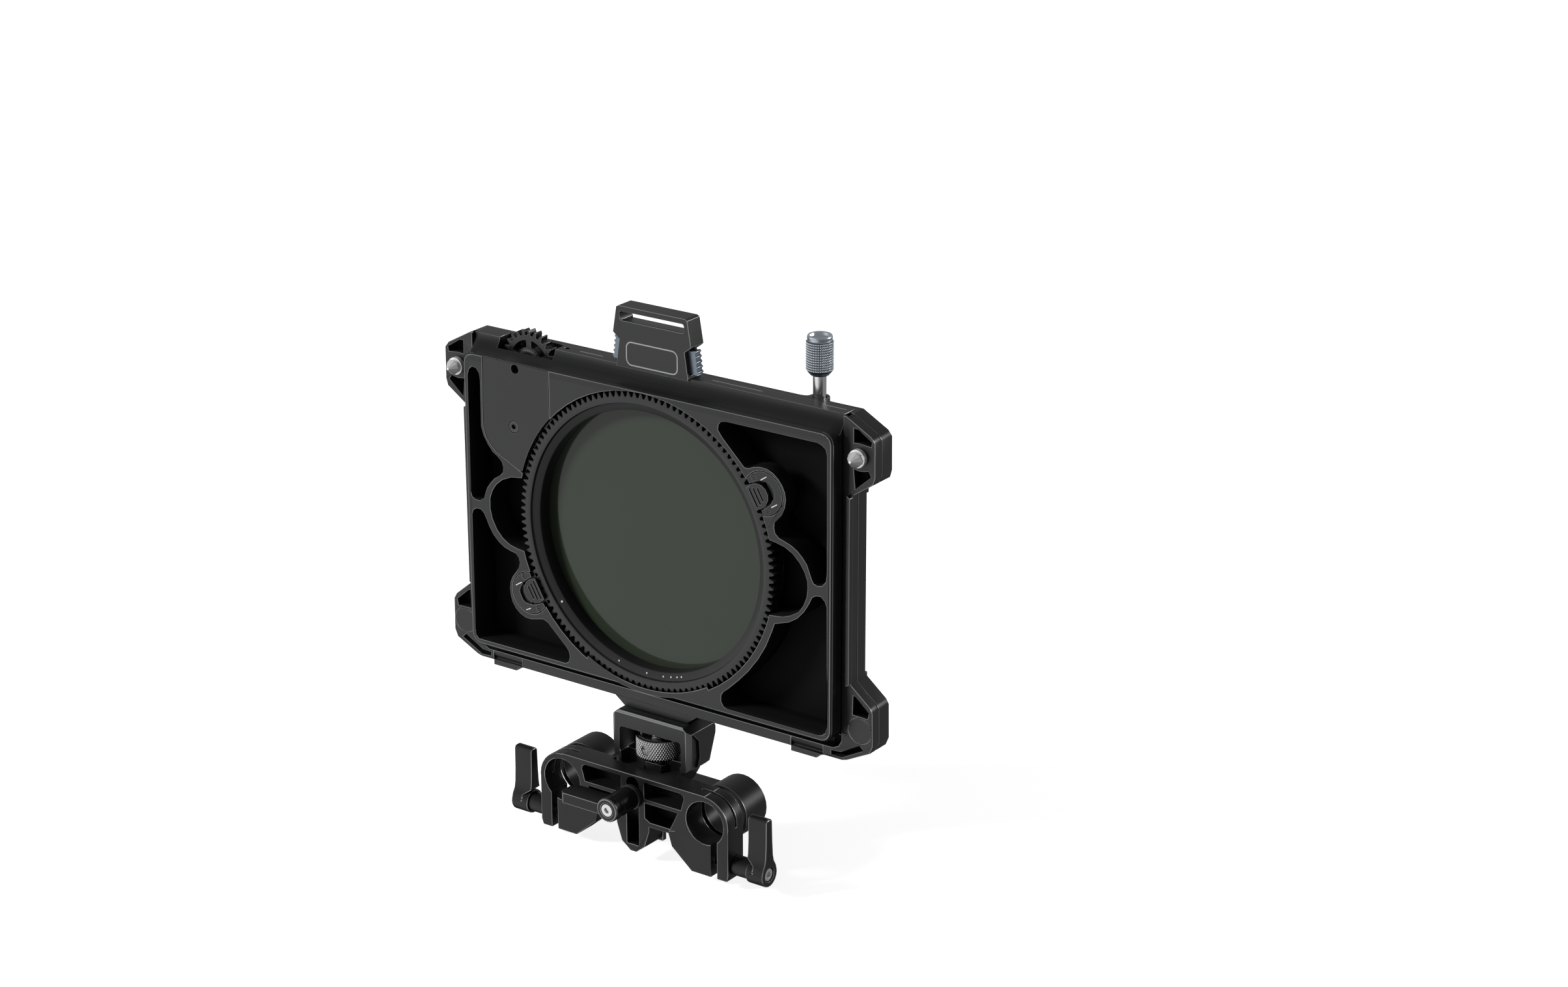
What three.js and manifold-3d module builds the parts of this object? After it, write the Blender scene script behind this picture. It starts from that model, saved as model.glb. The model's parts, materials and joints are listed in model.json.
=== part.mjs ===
// Cartridge matte box with a two-rod clamp.
// Millimetres. X right seen from the front, Y from front to back, +Z up.
// Origin: midway between the two rod axes, in the plane of the filter ring's front face.
import * as THREE from "three";
import { mergeVertices } from "three/addons/utils/BufferGeometryUtils.js";
import Module from "manifold-3d";

const wasm = await Module();
wasm.setup();

// ---------------------------------------------------------------- driving dimensions
const ROD_X = 30;          // rod axes at X = +-30, 15 mm rods on 60 mm centres
const ROD_R = 7.5;
const RING_Z = 89.6;       // height of the filter axis above the rod axes
const GEAR_M = 0.8;        // gear module
const N_RING = 128, N_PIN = 26;
const RING_W = 5.4;        // face width of the ring gear
const RING_PHASE = 2.2;    // angle of the first tooth valley, degrees
const TRANSFER = [-53.65, 30.27], DRIVE = [-52.5, 51.04];
const OPEN_R = 52.36;      // tray opening
const TRAY_X = 75, TRAY_TOP = 53, TRAY_BOT = -52.4, TRAY_FRONT = -0.8, TRAY_BACK = 11.7, FLOOR_Y = 10.9;
const BAR_TOP = 58.1;
const FRAME_Y0 = 4.75, SEAM_Y = 8.4, FRAME_BACK = 14.5, PANEL_Y = 12.0;
const KNOB = [58.26, 16.5];
const WHEEL_Y = 6.2;
const LOCK_Z = 2.0;        // height lever's axis above the rod axes
const LEVER = [-4.05, -14.2];
const COLLAR_SCREWS = [[38, 38], [-38, 38], [-38, -38], [38, -38]];

// ---------------------------------------------------------------- materials
const mat = (c, r, m) => new THREE.MeshStandardMaterial({ color: c, roughness: r, metalness: m });
const BLACK = mat(0x1b1c1d, 0.5, 0.6), DEEP = mat(0x0c0c0d, 0.7, 0.4), STEEL = mat(0xb9bcbf, 0.25, 1.0);
const BLUE = mat(0x66798a, 0.38, 0.8), GLASS = mat(0x2f352c, 0.08, 0.0), DARKSTEEL = mat(0x3a3c3e, 0.35, 0.9);

// ---------------------------------------------------------------- helpers
const M4 = THREE.Matrix4;
const XZ = (y1) => new M4().makeBasis(new THREE.Vector3(1, 0, 0), new THREE.Vector3(0, 0, 1), new THREE.Vector3(0, -1, 0)).setPosition(0, y1, 0);
const YZ = (x0) => new M4().makeBasis(new THREE.Vector3(0, 1, 0), new THREE.Vector3(0, 0, 1), new THREE.Vector3(1, 0, 0)).setPosition(x0, 0, 0);
function solid(geo) {
  const g = new THREE.BufferGeometry();
  g.setAttribute("position", geo.attributes.position.clone());
  if (geo.index) g.setIndex(geo.index.clone());
  const m = mergeVertices(g, 1e-5);
  const P = m.attributes.position.array, I = m.index.array, keep = [];
  let vol = 0;
  for (let i = 0; i < I.length; i += 3) {
    const [a, b, c] = [I[i], I[i + 1], I[i + 2]];
    if (a === b || b === c || a === c) continue;
    keep.push(a, b, c);
    const [ax, ay, az, bx, by, bz, cx, cy, cz] = [P[3 * a], P[3 * a + 1], P[3 * a + 2], P[3 * b], P[3 * b + 1], P[3 * b + 2], P[3 * c], P[3 * c + 1], P[3 * c + 2]];
    vol += ax * (by * cz - bz * cy) + ay * (bz * cx - bx * cz) + az * (bx * cy - by * cx);
  }
  if (vol < 0) for (let i = 0; i < keep.length; i += 3) [keep[i + 1], keep[i + 2]] = [keep[i + 2], keep[i + 1]];
  return new wasm.Manifold(new wasm.Mesh({ numProp: 3, vertProperties: new Float32Array(P), triVerts: new Uint32Array(keep) }));
}
function geometry(man) {
  const m = man.getMesh();
  const g = new THREE.BufferGeometry();
  const n = m.vertProperties.length / m.numProp, p = new Float32Array(n * 3);
  for (let i = 0; i < n; i++) for (let k = 0; k < 3; k++) p[i * 3 + k] = m.vertProperties[i * m.numProp + k];
  g.setAttribute("position", new THREE.BufferAttribute(p, 3));
  g.setIndex(new THREE.BufferAttribute(new Uint32Array(m.triVerts), 1));
  g.computeVertexNormals();
  return g;
}
const path = (pts) => { const s = new THREE.Shape(); pts.forEach((p, i) => (i ? s.lineTo(p[0], p[1]) : s.moveTo(p[0], p[1]))); s.closePath(); return s; };
const rev = (pts) => { let a = 0; pts.forEach((p, i) => { const q = pts[(i + 1) % pts.length]; a += p[0] * q[1] - q[0] * p[1]; }); return a < 0 ? [...pts].reverse() : pts; };
function prism(pts, d, holes = []) {
  const s = path(rev(pts));
  holes.forEach((h) => { const r = rev(h); s.holes.push(new THREE.Path([...r].reverse().map((p) => new THREE.Vector2(p[0], p[1])))); });
  return new THREE.ExtrudeGeometry(s, { depth: d, bevelEnabled: false, steps: 1 });
}
// prism of an X,Z outline between y0 and y1; of a Y,Z outline between x0 and x1; of an X,Y outline between z0 and z1
const alongY = (pts, y0, y1, holes) => solid(prism(pts, y1 - y0, holes).applyMatrix4(XZ(y1)));
const alongX = (pts, x0, x1, holes) => solid(prism(pts, x1 - x0, holes).applyMatrix4(YZ(x0)));
const alongZ = (pts, z0, z1, holes) => solid(prism(pts, z1 - z0, holes).translate(0, 0, z0));
const box = (x0, x1, y0, y1, z0, z1) => solid(new THREE.BoxGeometry(x1 - x0, y1 - y0, z1 - z0).translate((x0 + x1) / 2, (y0 + y1) / 2, (z0 + z1) / 2));
const arc = (cx, cy, r, a0, a1, n) => Array.from({ length: n + 1 }, (_, i) => { const a = ((a0 + ((a1 - a0) * i) / n) * Math.PI) / 180; return [cx + r * Math.cos(a), cy + r * Math.sin(a)]; });
const circle = (cx, cy, r, n, a0 = 0) => arc(cx, cy, r, a0, a0 + 360, n).slice(0, n);
const rrect = (x0, x1, z0, z1, r, n = 3) => [...arc(x1 - r, z1 - r, r, 0, 90, n), ...arc(x0 + r, z1 - r, r, 90, 180, n), ...arc(x0 + r, z0 + r, r, 180, 270, n), ...arc(x1 - r, z0 + r, r, 270, 360, n)];
const cylY = (cx, cz, r, y0, y1, n = 20, a0 = 0) => alongY(circle(cx, cz, r, n, a0), y0, y1);
const cylX = (cy, cz, r, x0, x1, n = 20) => alongX(circle(cy, cz, r, n), x0, x1);
const cylZ = (cx, cy, r, z0, z1, n = 20) => alongZ(circle(cx, cy, r, n), z0, z1);
// ring turned about the Y axis: profile of [radius, y] points that closes on itself
function turnedY(prof, n) {
  const p = rev(prof).map(([r, y]) => new THREE.Vector2(r, y));
  p.push(p[0].clone());
  return solid(new THREE.LatheGeometry(p, n));
}
// solid turned about Z: profile of [radius, z] points that starts and ends on the axis, or closes on itself
function turnedZ(prof, n, closed = false) {
  const p = prof.map(([r, z]) => new THREE.Vector2(r, z));
  if (closed) p.push(p[0].clone());
  return solid(new THREE.LatheGeometry(p, n).rotateX(Math.PI / 2));
}
const mirrorX = (m) => m.mirror([1, 0, 0]);
const rot = (m, deg) => { const a = (deg * Math.PI) / 180; return solid(geometry(m).applyMatrix4(new M4().makeRotationY(-a))); };

const root = new THREE.Group();
const head = new THREE.Group();       // everything measured from the filter axis
head.position.set(0, 0, RING_Z);
root.add(head);
let count = 0;
const report = [];
function part(name, man, material, parent = head, at = null, turn = null) {
  const g = man.isBufferGeometry ? man : geometry(man);
  const m = new THREE.Mesh(g, material);
  m.name = name;
  if (at) m.position.set(...at);
  if (turn) m.rotation.set(...turn);
  parent.add(m);
  const t = g.index ? g.index.count / 3 : g.attributes.position.count / 3;
  count += t; report.push([name, t]);
  return m;
}

// ---------------------------------------------------------------- gears
// tooth outline: involute flanks drawn with a few points, thinned by the backlash
function gearOutline(n, flankPoints, backlash, phase, tipR, rootR) {
  const rp = (GEAR_M * n) / 2, pa = (20 * Math.PI) / 180, rb = rp * Math.cos(pa);
  const inv = (r) => { const c = Math.min(1, rb / Math.max(r, rb)); const a = Math.acos(c); return Math.tan(a) - a; };
  const half = (r) => (Math.PI * GEAR_M / 2 - backlash) / (2 * rp) + inv(rp) - inv(r);
  const out = [];
  for (let k = 0; k < n; k++) {
    const c = (phase * Math.PI) / 180 + (2 * Math.PI * (k + 0.5)) / n;
    const rr = Array.from({ length: flankPoints }, (_, i) => rootR + ((tipR - rootR) * i) / (flankPoints - 1));
    rr.forEach((r) => out.push([r * Math.cos(c - half(r)), r * Math.sin(c - half(r))]));
    [...rr].reverse().forEach((r) => out.push([r * Math.cos(c + half(r)), r * Math.sin(c + half(r))]));
  }
  return out;
}
const ringR = (GEAR_M * N_RING) / 2, pinR = (GEAR_M * N_PIN) / 2;
const NB = 48;

// turning ring: gear annulus, bezel and spigot
{
  const teeth = alongY(gearOutline(N_RING, 2, 0.16, RING_PHASE, ringR + 0.8, ringR - 1.0), 0, RING_W, [circle(0, 0, 49.2, NB)]);
  const body = turnedY([[49.6, 0], [48.0, 0], [47.9, 0.9], [45.25, 1.7], [45.25, 6.4], [46.3, 6.4], [46.3, 8.5], [48.0, 8.5], [48.0, RING_W], [49.6, RING_W]], NB);
  part("filter_gear_ring", teeth.add(body), BLACK);
}
part("filter_front_glass", cylY(0, 0, 46.0, 6.6, 7.7, 36), GLASS);
part("front_glass_retainer", turnedY([[46.0, 7.95], [44.9, 7.95], [44.9, 8.45], [46.0, 8.45]], 24), DEEP);
part("filter_rear_ring", turnedY([[50.05, 5.8], [48.35, 5.8], [48.35, 8.8], [45.4, 8.8], [45.4, 9.2], [46.8, 9.2], [46.8, 11.5], [49.0, 11.5], [49.0, 10.6], [50.05, 10.6], [50.05, 8.3], [49.2, 8.3], [49.2, 6.8], [50.05, 6.8]], 36), BLACK);
part("filter_rear_glass", cylY(0, 0, 46.4, 9.5, 10.6, 36), GLASS);
part("rear_glass_retainer", turnedY([[46.4, 10.85], [45.2, 10.85], [45.2, 11.45], [46.4, 11.45]], 24), DEEP);

// pinion behind the cover plate and the spoked gear in the top window
const meshA = (Math.atan2(TRANSFER[1], TRANSFER[0]) * 180) / Math.PI;
const meshB = (Math.atan2(DRIVE[1] - TRANSFER[1], DRIVE[0] - TRANSFER[0]) * 180) / Math.PI;
// valley of the pinion faces a tooth of the ring along the line of centres
const toothPitchR = 360 / N_RING, pitchP = 360 / N_PIN;
const frac = (v) => v - Math.floor(v);
const ringAt = frac((meshA - RING_PHASE) / toothPitchR);          // 0 = valley of the ring on the line of centres
const transferPhase = meshA + 180 + (ringAt + 0.5) * pitchP;      // the pinion turns the other way
const transferAt = frac((meshB - transferPhase) / pitchP);
const drivePhase = meshB + 180 + (transferAt + 0.5) * pitchP;
part("transfer_gear", alongY(gearOutline(N_PIN, 3, 0.16, transferPhase, pinR + 0.8, pinR - 1.0), 1.6, 10.1, [circle(0, 0, 1.85, 12)]), DEEP, head, [TRANSFER[0], 0, TRANSFER[1]]);
{
  const out = gearOutline(N_PIN, 3, 0.16, drivePhase, pinR + 0.8, pinR - 1.0);
  const holes = [circle(0, 0, 1.85, 12)];
  for (let k = 0; k < 5; k++) { const a = 90 + 72 * k; holes.push([...arc(0, 0, 7.8, a + 8, a + 64, 5), ...arc(0, 0, 5.3, a + 61, a + 11, 4)]); }
  const disc = alongY(out, 6.8, 10.2, holes);
  const hub = turnedY([[4.9, 6.5], [1.85, 6.5], [1.85, 7.1], [4.9, 7.1]], 24);
  part("drive_gear", disc.add(hub), BLACK, head, [DRIVE[0], 0, DRIVE[1]]);
}
const hexHole = (cx, cz, af, y0, y1) => cylY(cx, cz, af / 2 / Math.cos(Math.PI / 6), y0, y1, 6, 15);
part("transfer_axle", cylY(0, 0, 1.55, 0.9, 11.5, 12).add(cylY(0, 0, 1.95, -0.75, 1.2, 16)).subtract(hexHole(0, 0, 1.7, -1, 0.3)), DARKSTEEL, head, [TRANSFER[0], 0, TRANSFER[1]]);
part("drive_axle", cylY(0, 0, 1.5, 7.2, 11.5, 12).add(cylY(0, 0, 1.2, 1.3, 7.4, 12)), DARKSTEEL, head, [DRIVE[0], 0, DRIVE[1]]);

// ---------------------------------------------------------------- tray outlines (X, Z from the filter axis)
const UL = [[-73.1, 45.0], [-72.4, 47.0], [-71.0, 48.3], [-69.4, 48.0], [-68.1, 46.4], [-67.7, 44.2], [-67.8, 27.6], [-66.9, 24.8], [-65.1, 21.9], [-63.2, 19.7], [-60.9, 18.3], [-59.3, 16.8], [-58.7, 15.1], [-58.9, 13.2], [-60.3, 11.7], [-62.7, 10.1], [-64.4, 8.3], [-66.0, 6.1], [-66.9, 4.0], [-67.5, 2.0], [-69.3, 0.9], [-71.3, 0.9], [-72.7, 1.6], [-73.2, 3.2]];
const LL = [[-73.0, -5.0], [-72.5, -3.3], [-70.9, -2.3], [-69.1, -2.3], [-67.8, -3.4], [-66.7, -5.3], [-65.6, -7.7], [-64.0, -10.2], [-61.8, -12.3], [-59.3, -13.9], [-56.5, -14.7], [-54.2, -15.1], [-53.1, -16.3], [-52.6, -18.1], [-53.2, -20.1], [-54.4, -21.8], [-55.9, -23.8], [-56.9, -25.9], [-57.2, -28.4], [-57.0, -30.7], [-56.3, -33.1], [-54.9, -35.2], [-53.0, -36.7], [-50.7, -37.6], [-48.2, -37.7], [-45.3, -37.0], [-43.0, -36.5], [-41.1, -37.2], [-33.4, -44.2], [-32.3, -45.6], [-31.8, -47.4], [-32.4, -49.5], [-33.8, -50.3], [-71.9, -50.3], [-73.0, -49.1], [-73.2, -47.2]];
const UR = [[30.8, 46.0], [31.1, 47.8], [32.1, 48.9], [33.9, 49.3], [69.1, 49.3], [71.0, 48.8], [72.3, 47.8], [72.9, 45.7], [73.1, 6.5], [72.8, 3.5], [71.3, 1.7], [69.5, 1.3], [68.0, 1.8], [67.3, 3.0], [66.5, 5.0], [65.5, 7.5], [63.7, 9.7], [61.7, 11.5], [59.2, 12.9], [56.7, 13.7], [54.6, 14.3], [53.1, 15.6], [52.7, 17.4], [52.9, 19.1], [54.6, 20.8], [55.9, 22.6], [56.9, 25.0], [57.3, 27.7], [56.9, 30.1], [55.9, 32.2], [54.4, 34.1], [52.4, 35.7], [49.9, 36.7], [47.3, 36.8], [44.8, 36.3], [42.8, 35.4], [41.2, 35.4], [39.7, 36.8], [32.6, 43.7]];
const LR = [[31.4, -46.0], [32.4, -44.4], [34.5, -42.7], [38.5, -38.9], [42.4, -34.7], [46.4, -29.4], [49.5, -24.1], [51.8, -18.6], [52.9, -15.6], [55.4, -14.8], [58.4, -13.8], [61.7, -11.7], [64.3, -8.9], [66.3, -5.7], [67.5, -3.2], [69.0, -2.3], [70.8, -2.2], [72.3, -3.4], [73.1, -5.3], [73.4, -46.2], [72.8, -48.7], [71.3, -50.0], [69.5, -50.3], [34.0, -50.2], [32.4, -49.7], [31.3, -48.1]];
const DL = [[-49.5, 12.9], [-55.5, 12.0], [-59.3, 10.3], [-61.9, 8.1], [-63.7, 5.6], [-64.8, 2.6], [-64.9, -1.0], [-64.1, -4.5], [-62.2, -8.1], [-59.7, -10.7], [-56.7, -12.4], [-53.6, -13.1], [-49.5, -13.5]];
const DR = [[49.5, 12.9], [53.1, 12.5], [56.7, 11.7], [59.7, 10.2], [62.5, 7.7], [64.5, 4.8], [65.6, 1.9], [65.7, -0.7], [65.3, -3.7], [64.1, -6.6], [62.2, -9.3], [59.2, -11.2], [56.1, -12.3], [49.5, -13.1]];
const COVE = [[-0.2, 53.0], [1.6, 53.2], [3.2, 53.8], [4.5, 54.8], [5.4, 56.0], [6.0, 57.1], [6.2, BAR_TOP], [11.7, BAR_TOP], [11.7, 50], [-0.2, 50]];
const COVER = [[-66.2, 52.6], [-66.6, 35.9], [-66.5, 27.9], [-65.5, 24.6], [-63.6, 22.2], [-61.4, 20.3], [-56.7, 18.0], [-51.4, 15.2]];
const coverRing = arc(0, 0, 52.7, 163.2, 136.3, 9);
const coverOut = [...COVER, ...coverRing, [-38.4, 37.2], [-38.4, 52.6]];

// ---------------------------------------------------------------- tray
const LATCH_A = 30.1, LATCH_R = 56.05;
const latchC = (s) => [s * LATCH_R * Math.cos((LATCH_A * Math.PI) / 180), s * LATCH_R * Math.sin((LATCH_A * Math.PI) / 180)];
{
  const outer = rrect(-TRAY_X, TRAY_X, TRAY_BOT, TRAY_TOP, 4, 4);
  let t = alongY(outer, TRAY_FRONT + 0.6, TRAY_BACK);
  // front edge with a chamfer all round
  const f0 = rrect(-TRAY_X + 0.6, TRAY_X - 0.6, TRAY_BOT + 0.65, TRAY_TOP - 0.35, 3.5, 4);
  t = t.add(alongY(f0, TRAY_FRONT, TRAY_FRONT + 0.02).add(alongY(outer, TRAY_FRONT + 0.6, TRAY_FRONT + 0.7)).hull());
  t = t.add(alongX(COVE, -TRAY_X, TRAY_X));
  // side runners in the frame's grooves
  t = t.add(box(TRAY_X - 1, 76.3, 6.1, 8.0, TRAY_BOT + 3, 49)).add(box(-76.3, -TRAY_X + 1, 6.1, 8.0, TRAY_BOT + 3, 49));
  // the cove runs round the upper corners into the sides
  for (const s of [-1, 1]) {
    const sweep = turnedY([[3.35, -3], [3.35, -0.9], [4.0, -0.2], [4.2, 1.6], [4.8, 3.2], [5.8, 4.5], [7.0, 5.4], [8.1, 6.0], [9.4, 6.2], [14, 6.2], [14, -3]], 48).translate([s * 71, 0, 49]);
    t = t.subtract(sweep.intersect(s > 0 ? box(71, 85, -4, 8, 49, 64) : box(-85, -71, -4, 8, 49, 64)));
  }
  [UL, LL, UR, LR].forEach((o) => { t = t.subtract(alongY(o, -3, FLOOR_Y)); });
  t = t.subtract(alongY(DL, -3, 9.4)).subtract(alongY(DR, -3, 9.4));
  // stepped bore of the filter
  t = t.subtract(turnedY([[OPEN_R, -3], [OPEN_R, 5.7], [50.45, 5.7], [50.45, FLOOR_Y], [49.35, FLOOR_Y], [49.35, 15], [20, 15], [20, -3]], 60)).subtract(cylY(0, 0, 30, -4, 16, 12));
  // lip over the lower teeth
  const lip = [...arc(0, 0, 51.3, 242, 300, 14), ...arc(0, 0, 53.2, 300, 242, 10)];
  t = t.add(alongY(lip, TRAY_FRONT, -0.3));
  // cover recess, gear chambers, window
  const shrink = coverOut.map(([x, z]) => [x + (x < -64 ? -0.3 : x > -40 ? 0.3 : 0), z]);
  t = t.subtract(alongY([[-66.5, 52.7], [-66.9, 35.9], [-66.8, 27.9], [-65.8, 24.4], [-63.8, 22.0], [-61.6, 20.05], [-56.8, 17.75], [-50.4, 14.6], ...arc(0, 0, 50, 163, 136, 8), [-38.1, 34], [-38.1, 52.7]], -3, 1.3));
  t = t.subtract(cylY(TRANSFER[0], TRANSFER[1], 11.6, 1.2, 10.4, 40));
  t = t.subtract(alongY(circle(DRIVE[0], DRIVE[1], 11.6, 40).map(([x, z]) => [x, Math.min(z, 52.6)]), 1.2, 4.7));
  t = t.subtract(cylY(DRIVE[0], DRIVE[1], 11.6, 4.45, 10.4, 40));
  t = t.subtract(box(-64.2, -40.7, 4.45, 12, 53.4, 60));
  t = t.subtract(cylY(TRANSFER[0], TRANSFER[1], 1.85, 9, 12, 12)).subtract(cylY(DRIVE[0], DRIVE[1], 1.8, 9, 12, 12));
  t = t.subtract(cylZ(-38, 9.4, 1.1, 55.5, 60, 12));
  // latch lugs are only 6 mm thick; seats for keeper plates, slots for the latch stems and tongues
  const lugR = UR.slice(23, 36);
  for (const s of [1, -1]) {
    const back = [...lugR, ...arc(0, 0, 55.0, 39.2, 20.4, 8)].map(([x, z]) => [s * x, s * z]);
    t = t.subtract(alongY(back, 5.3, FLOOR_Y));
    const c = latchC(s);
    t = t.subtract(cylY(c[0], c[1], 7.6, -3, 0.9, 28));
    const slot = (r0, r1, w, y0, y1) => rot(box(r0, r1, y0, y1, -w, w), LATCH_A + (s < 0 ? 180 : 0));
    t = t.subtract(slot(53.6, 61.0, 2.9, -1, 9.6));
    t = t.subtract(slot(49.9, 57, 2.9, 6.4, 8.6));
    for (const z of [6, -6]) t = t.subtract(rot(cylY(55.3, z, 1.05, 0.2, 4.5, 10), LATCH_A + (s < 0 ? 180 : 0)));
  }
  // handle
  const hh = [[14.6, 57.4], [13.2, 66.9], [14.5, 67.8], [15.85, 68.9], [14.35, 77.7], [13.4, 78.2]];
  const outline = [...hh, ...[...hh].reverse().map(([x, z]) => [-x, z])];
  let h = alongY(outline, 5.4, 12.3);
  h = h.subtract(alongY(rrect(-13, 13, 73.3, 76.3, 0.8, 2), 4, 14)).subtract(alongX([[5.0, 73.4], [13, 72.55], [13, 75.5], [5.0, 75.5]], -12.6, 12.6));
  const well = [[1.3, 59.0], [20, 59.0], [20, 68.0], [14.9, 67.95], [12.6, 67.35], [1.3, 67.3]];
  for (const s of [1, -1]) h = h.subtract(alongY(well.map(([x, z]) => [s * x, z]), 6.85, 10.45));
  t = t.add(h.subtract(box(-20, 20, TRAY_BACK, 14, 56, BAR_TOP + 0.3)));
  part("tray_body", t, BLACK);
}
{
  let c = alongY(coverOut, TRAY_FRONT, 1.0);
  c = c.subtract(cylY(TRANSFER[0], TRANSFER[1], 2.25, -3, 3, 20)).subtract(cylY(DRIVE[0], 50.7, 1.65, -3, 3, 16));
  part("gear_cover", c, BLACK);
}
// keeper plates, latch buttons, screws, springs: right at +30 degrees, left at 210
const names = { 1: "right", "-1": "left" };
const BUTTON = [[50.85, -3.9], [50.85, 3.9], [53.2, 4.3], [55.3, 3.9], [57.0, 2.7], [57.9, 1.0], [57.9, -1.0], [57.0, -2.7], [55.3, -3.9], [53.2, -4.3]];
for (const s of [1, -1]) {
  const a = LATCH_A + (s < 0 ? 180 : 0), c = latchC(1);
  // in the latch's own frame X is radial
  const plate = alongY(circle(LATCH_R, 0, 7.3, 28), TRAY_FRONT, 0.6)
    .subtract(cylY(0, 0, 52.75, -2, 2, 90))
    .subtract(alongY([[50, -4.7], [50, 4.7], [53.3, 4.75], [55.0, 4.55], [57.0, 4.15], [58.9, 3.05], [59.9, 2.2], [60.3, 1.2], [60.3, -1.2], [59.9, -2.2], [58.9, -3.05], [57.0, -4.15], [55.0, -4.55], [53.3, -4.75]], -2, 2));
  const scr = [[55.3, 6.0], [55.3, -6.0]];
  let p = plate;
  scr.forEach(([x, z]) => { p = p.subtract(cylY(x, z, 1.05, -2, 2, 12)); });
  const turnY = [0, (-a * Math.PI) / 180, 0];
  // the plate is one body on each side of the button, joined behind it
  p = p.add(alongY(rrect(58.2, 61.9, -4.8, 4.8, 1.2, 2), 0.15, 0.6));
  part(`latch_plate_${names[s]}`, p, BLACK, head, [0, 0, 0], turnY);
  let b = alongY(BUTTON, -1.3, -0.15).add(box(54.2, 55.8, -0.5, 8.2, -2.4, 2.4)).add(box(49.55, 55, 7.0, 8.0, -2.4, 2.4));
  [[52.0, 3.2], [53.55, 2.75], [55.1, 2.15]].forEach(([x, z]) => { b = b.subtract(alongY([[x - 0.33, -z], [x, -z - 0.3], [x + 0.33, -z], [x + 0.33, z], [x, z + 0.3], [x - 0.33, z]], -1.6, -0.9)); });
  part(`latch_button_${names[s]}`, b, BLACK, head, [0, 0, 0], turnY);
  scr.forEach(([x, z], i) => {
    const sc = cylY(x, z, 1.0 - 0.25, -0.4, 4.0, 10).add(cylY(x, z, 0.8, -0.75, -0.2, 12)).subtract(box(x - 0.5, x + 0.5, -1, -0.45, z - 0.12, z + 0.12)).subtract(box(x - 0.12, x + 0.12, -1, -0.45, z - 0.5, z + 0.5));
    part(`latch_screw_${names[s]}_${i + 1}`, sc, DARKSTEEL, head, [0, 0, 0], turnY);
  });
}
// release buttons and their springs in the handle
function coil(r, wire, length, turns, perTurn) {
  const pts = [];
  for (let i = 0; i <= turns * perTurn; i++) { const a = (2 * Math.PI * i) / perTurn; pts.push(new THREE.Vector3((length * i) / (turns * perTurn), r * Math.cos(a), r * Math.sin(a))); }
  const sec = path(circle(0, 0, wire, 4));
  return new THREE.ExtrudeGeometry(sec, { steps: turns * perTurn, bevelEnabled: false, extrudePath: new THREE.CatmullRomCurve3(pts) });
}
for (const s of [1, -1]) {
  // outline seen from the front: five ribs that run front to back on a flank that leans outwards
  const tip = (z) => 16.4 + (67.3 - z) * 0.13;
  const rib = [];
  for (let k = 0; k < 5; k++) { const z = 67.2 - 1.69 * k; rib.push([tip(z), z], [tip(z) + 0.03, z - 0.4], [tip(z) - 0.42, z - 0.85], [tip(z) - 0.36, z - 1.3]); }
  const prof = [[9.6, 67.0], [14.9, 67.15], [15.9, 67.5], ...rib.slice(0, -1), [tip(59.4) - 0.4, 59.4], [9.6, 59.4]];
  const b = alongY(prof.map(([x, z]) => [s * x, z]), 7.1, 10.2);
  part(`release_button_${names[s]}`, b, BLUE);
  const g = coil(1.3, 0.28, 7.2, 4, 6);
  part(`release_spring_${names[s]}`, g, STEEL, head, [s * 1.9, 8.65, 63.15], s > 0 ? null : [0, 0, Math.PI]);
}

// ---------------------------------------------------------------- frame
const half = [[76.5, 57.9], [85.8, 52.8], [87.3, 50.9], [87.4, 39.7], [86.7, 37.2], [78.7, 31.8], [78.7, -32.5], [86.1, -38.6], [87.2, -40.5], [87.35, -52.1], [86.2, -54.8], [77.4, -59.2], [75.5, -59.7], [68.4, -59.7], [66.6, -60.3], [65.6, -61.45], [55.4, -61.45], [55.4, -59.7], [17.0, -59.7], [13.2, -62.6]];
const mir = (p) => [...p].reverse().map(([x, z]) => [-x, z]);
// both pull tabs have their rounded end on the right
const isTab = ([x, z]) => x > 50 && x < 70 && z < -59.5;
const halfLeft = mir(half.filter((p) => !isTab(p)));
halfLeft.splice(2, 0, [-57.1, -59.7], [-58.9, -60.3], [-60.0, -61.45], [-70.1, -61.45], [-70.1, -59.7]);
const SCOOPS = [[55.45, 68.0], [-70.05, -57.5]];
const earHoles = [
  [[86.0, 51.2], [81.0, 54.3], [79.3, 54.5], [79.3, 49.8], [81.5, 50.0], [85.8, 49.6]],
  [[79.3, 41.0], [81.9, 40.6], [84.9, 41.2], [85.8, 39.6], [80.0, 34.6]],
  [[85.8, -40.6], [80.6, -36.2], [79.8, -36.0], [79.6, -42.6], [85.3, -42.8]],
  [[83.8, -54.3], [82.3, -53.0], [75.0, -57.0], [71.3, -57.2], [71.4, -58.6], [75.3, -58.8]],
];
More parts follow.
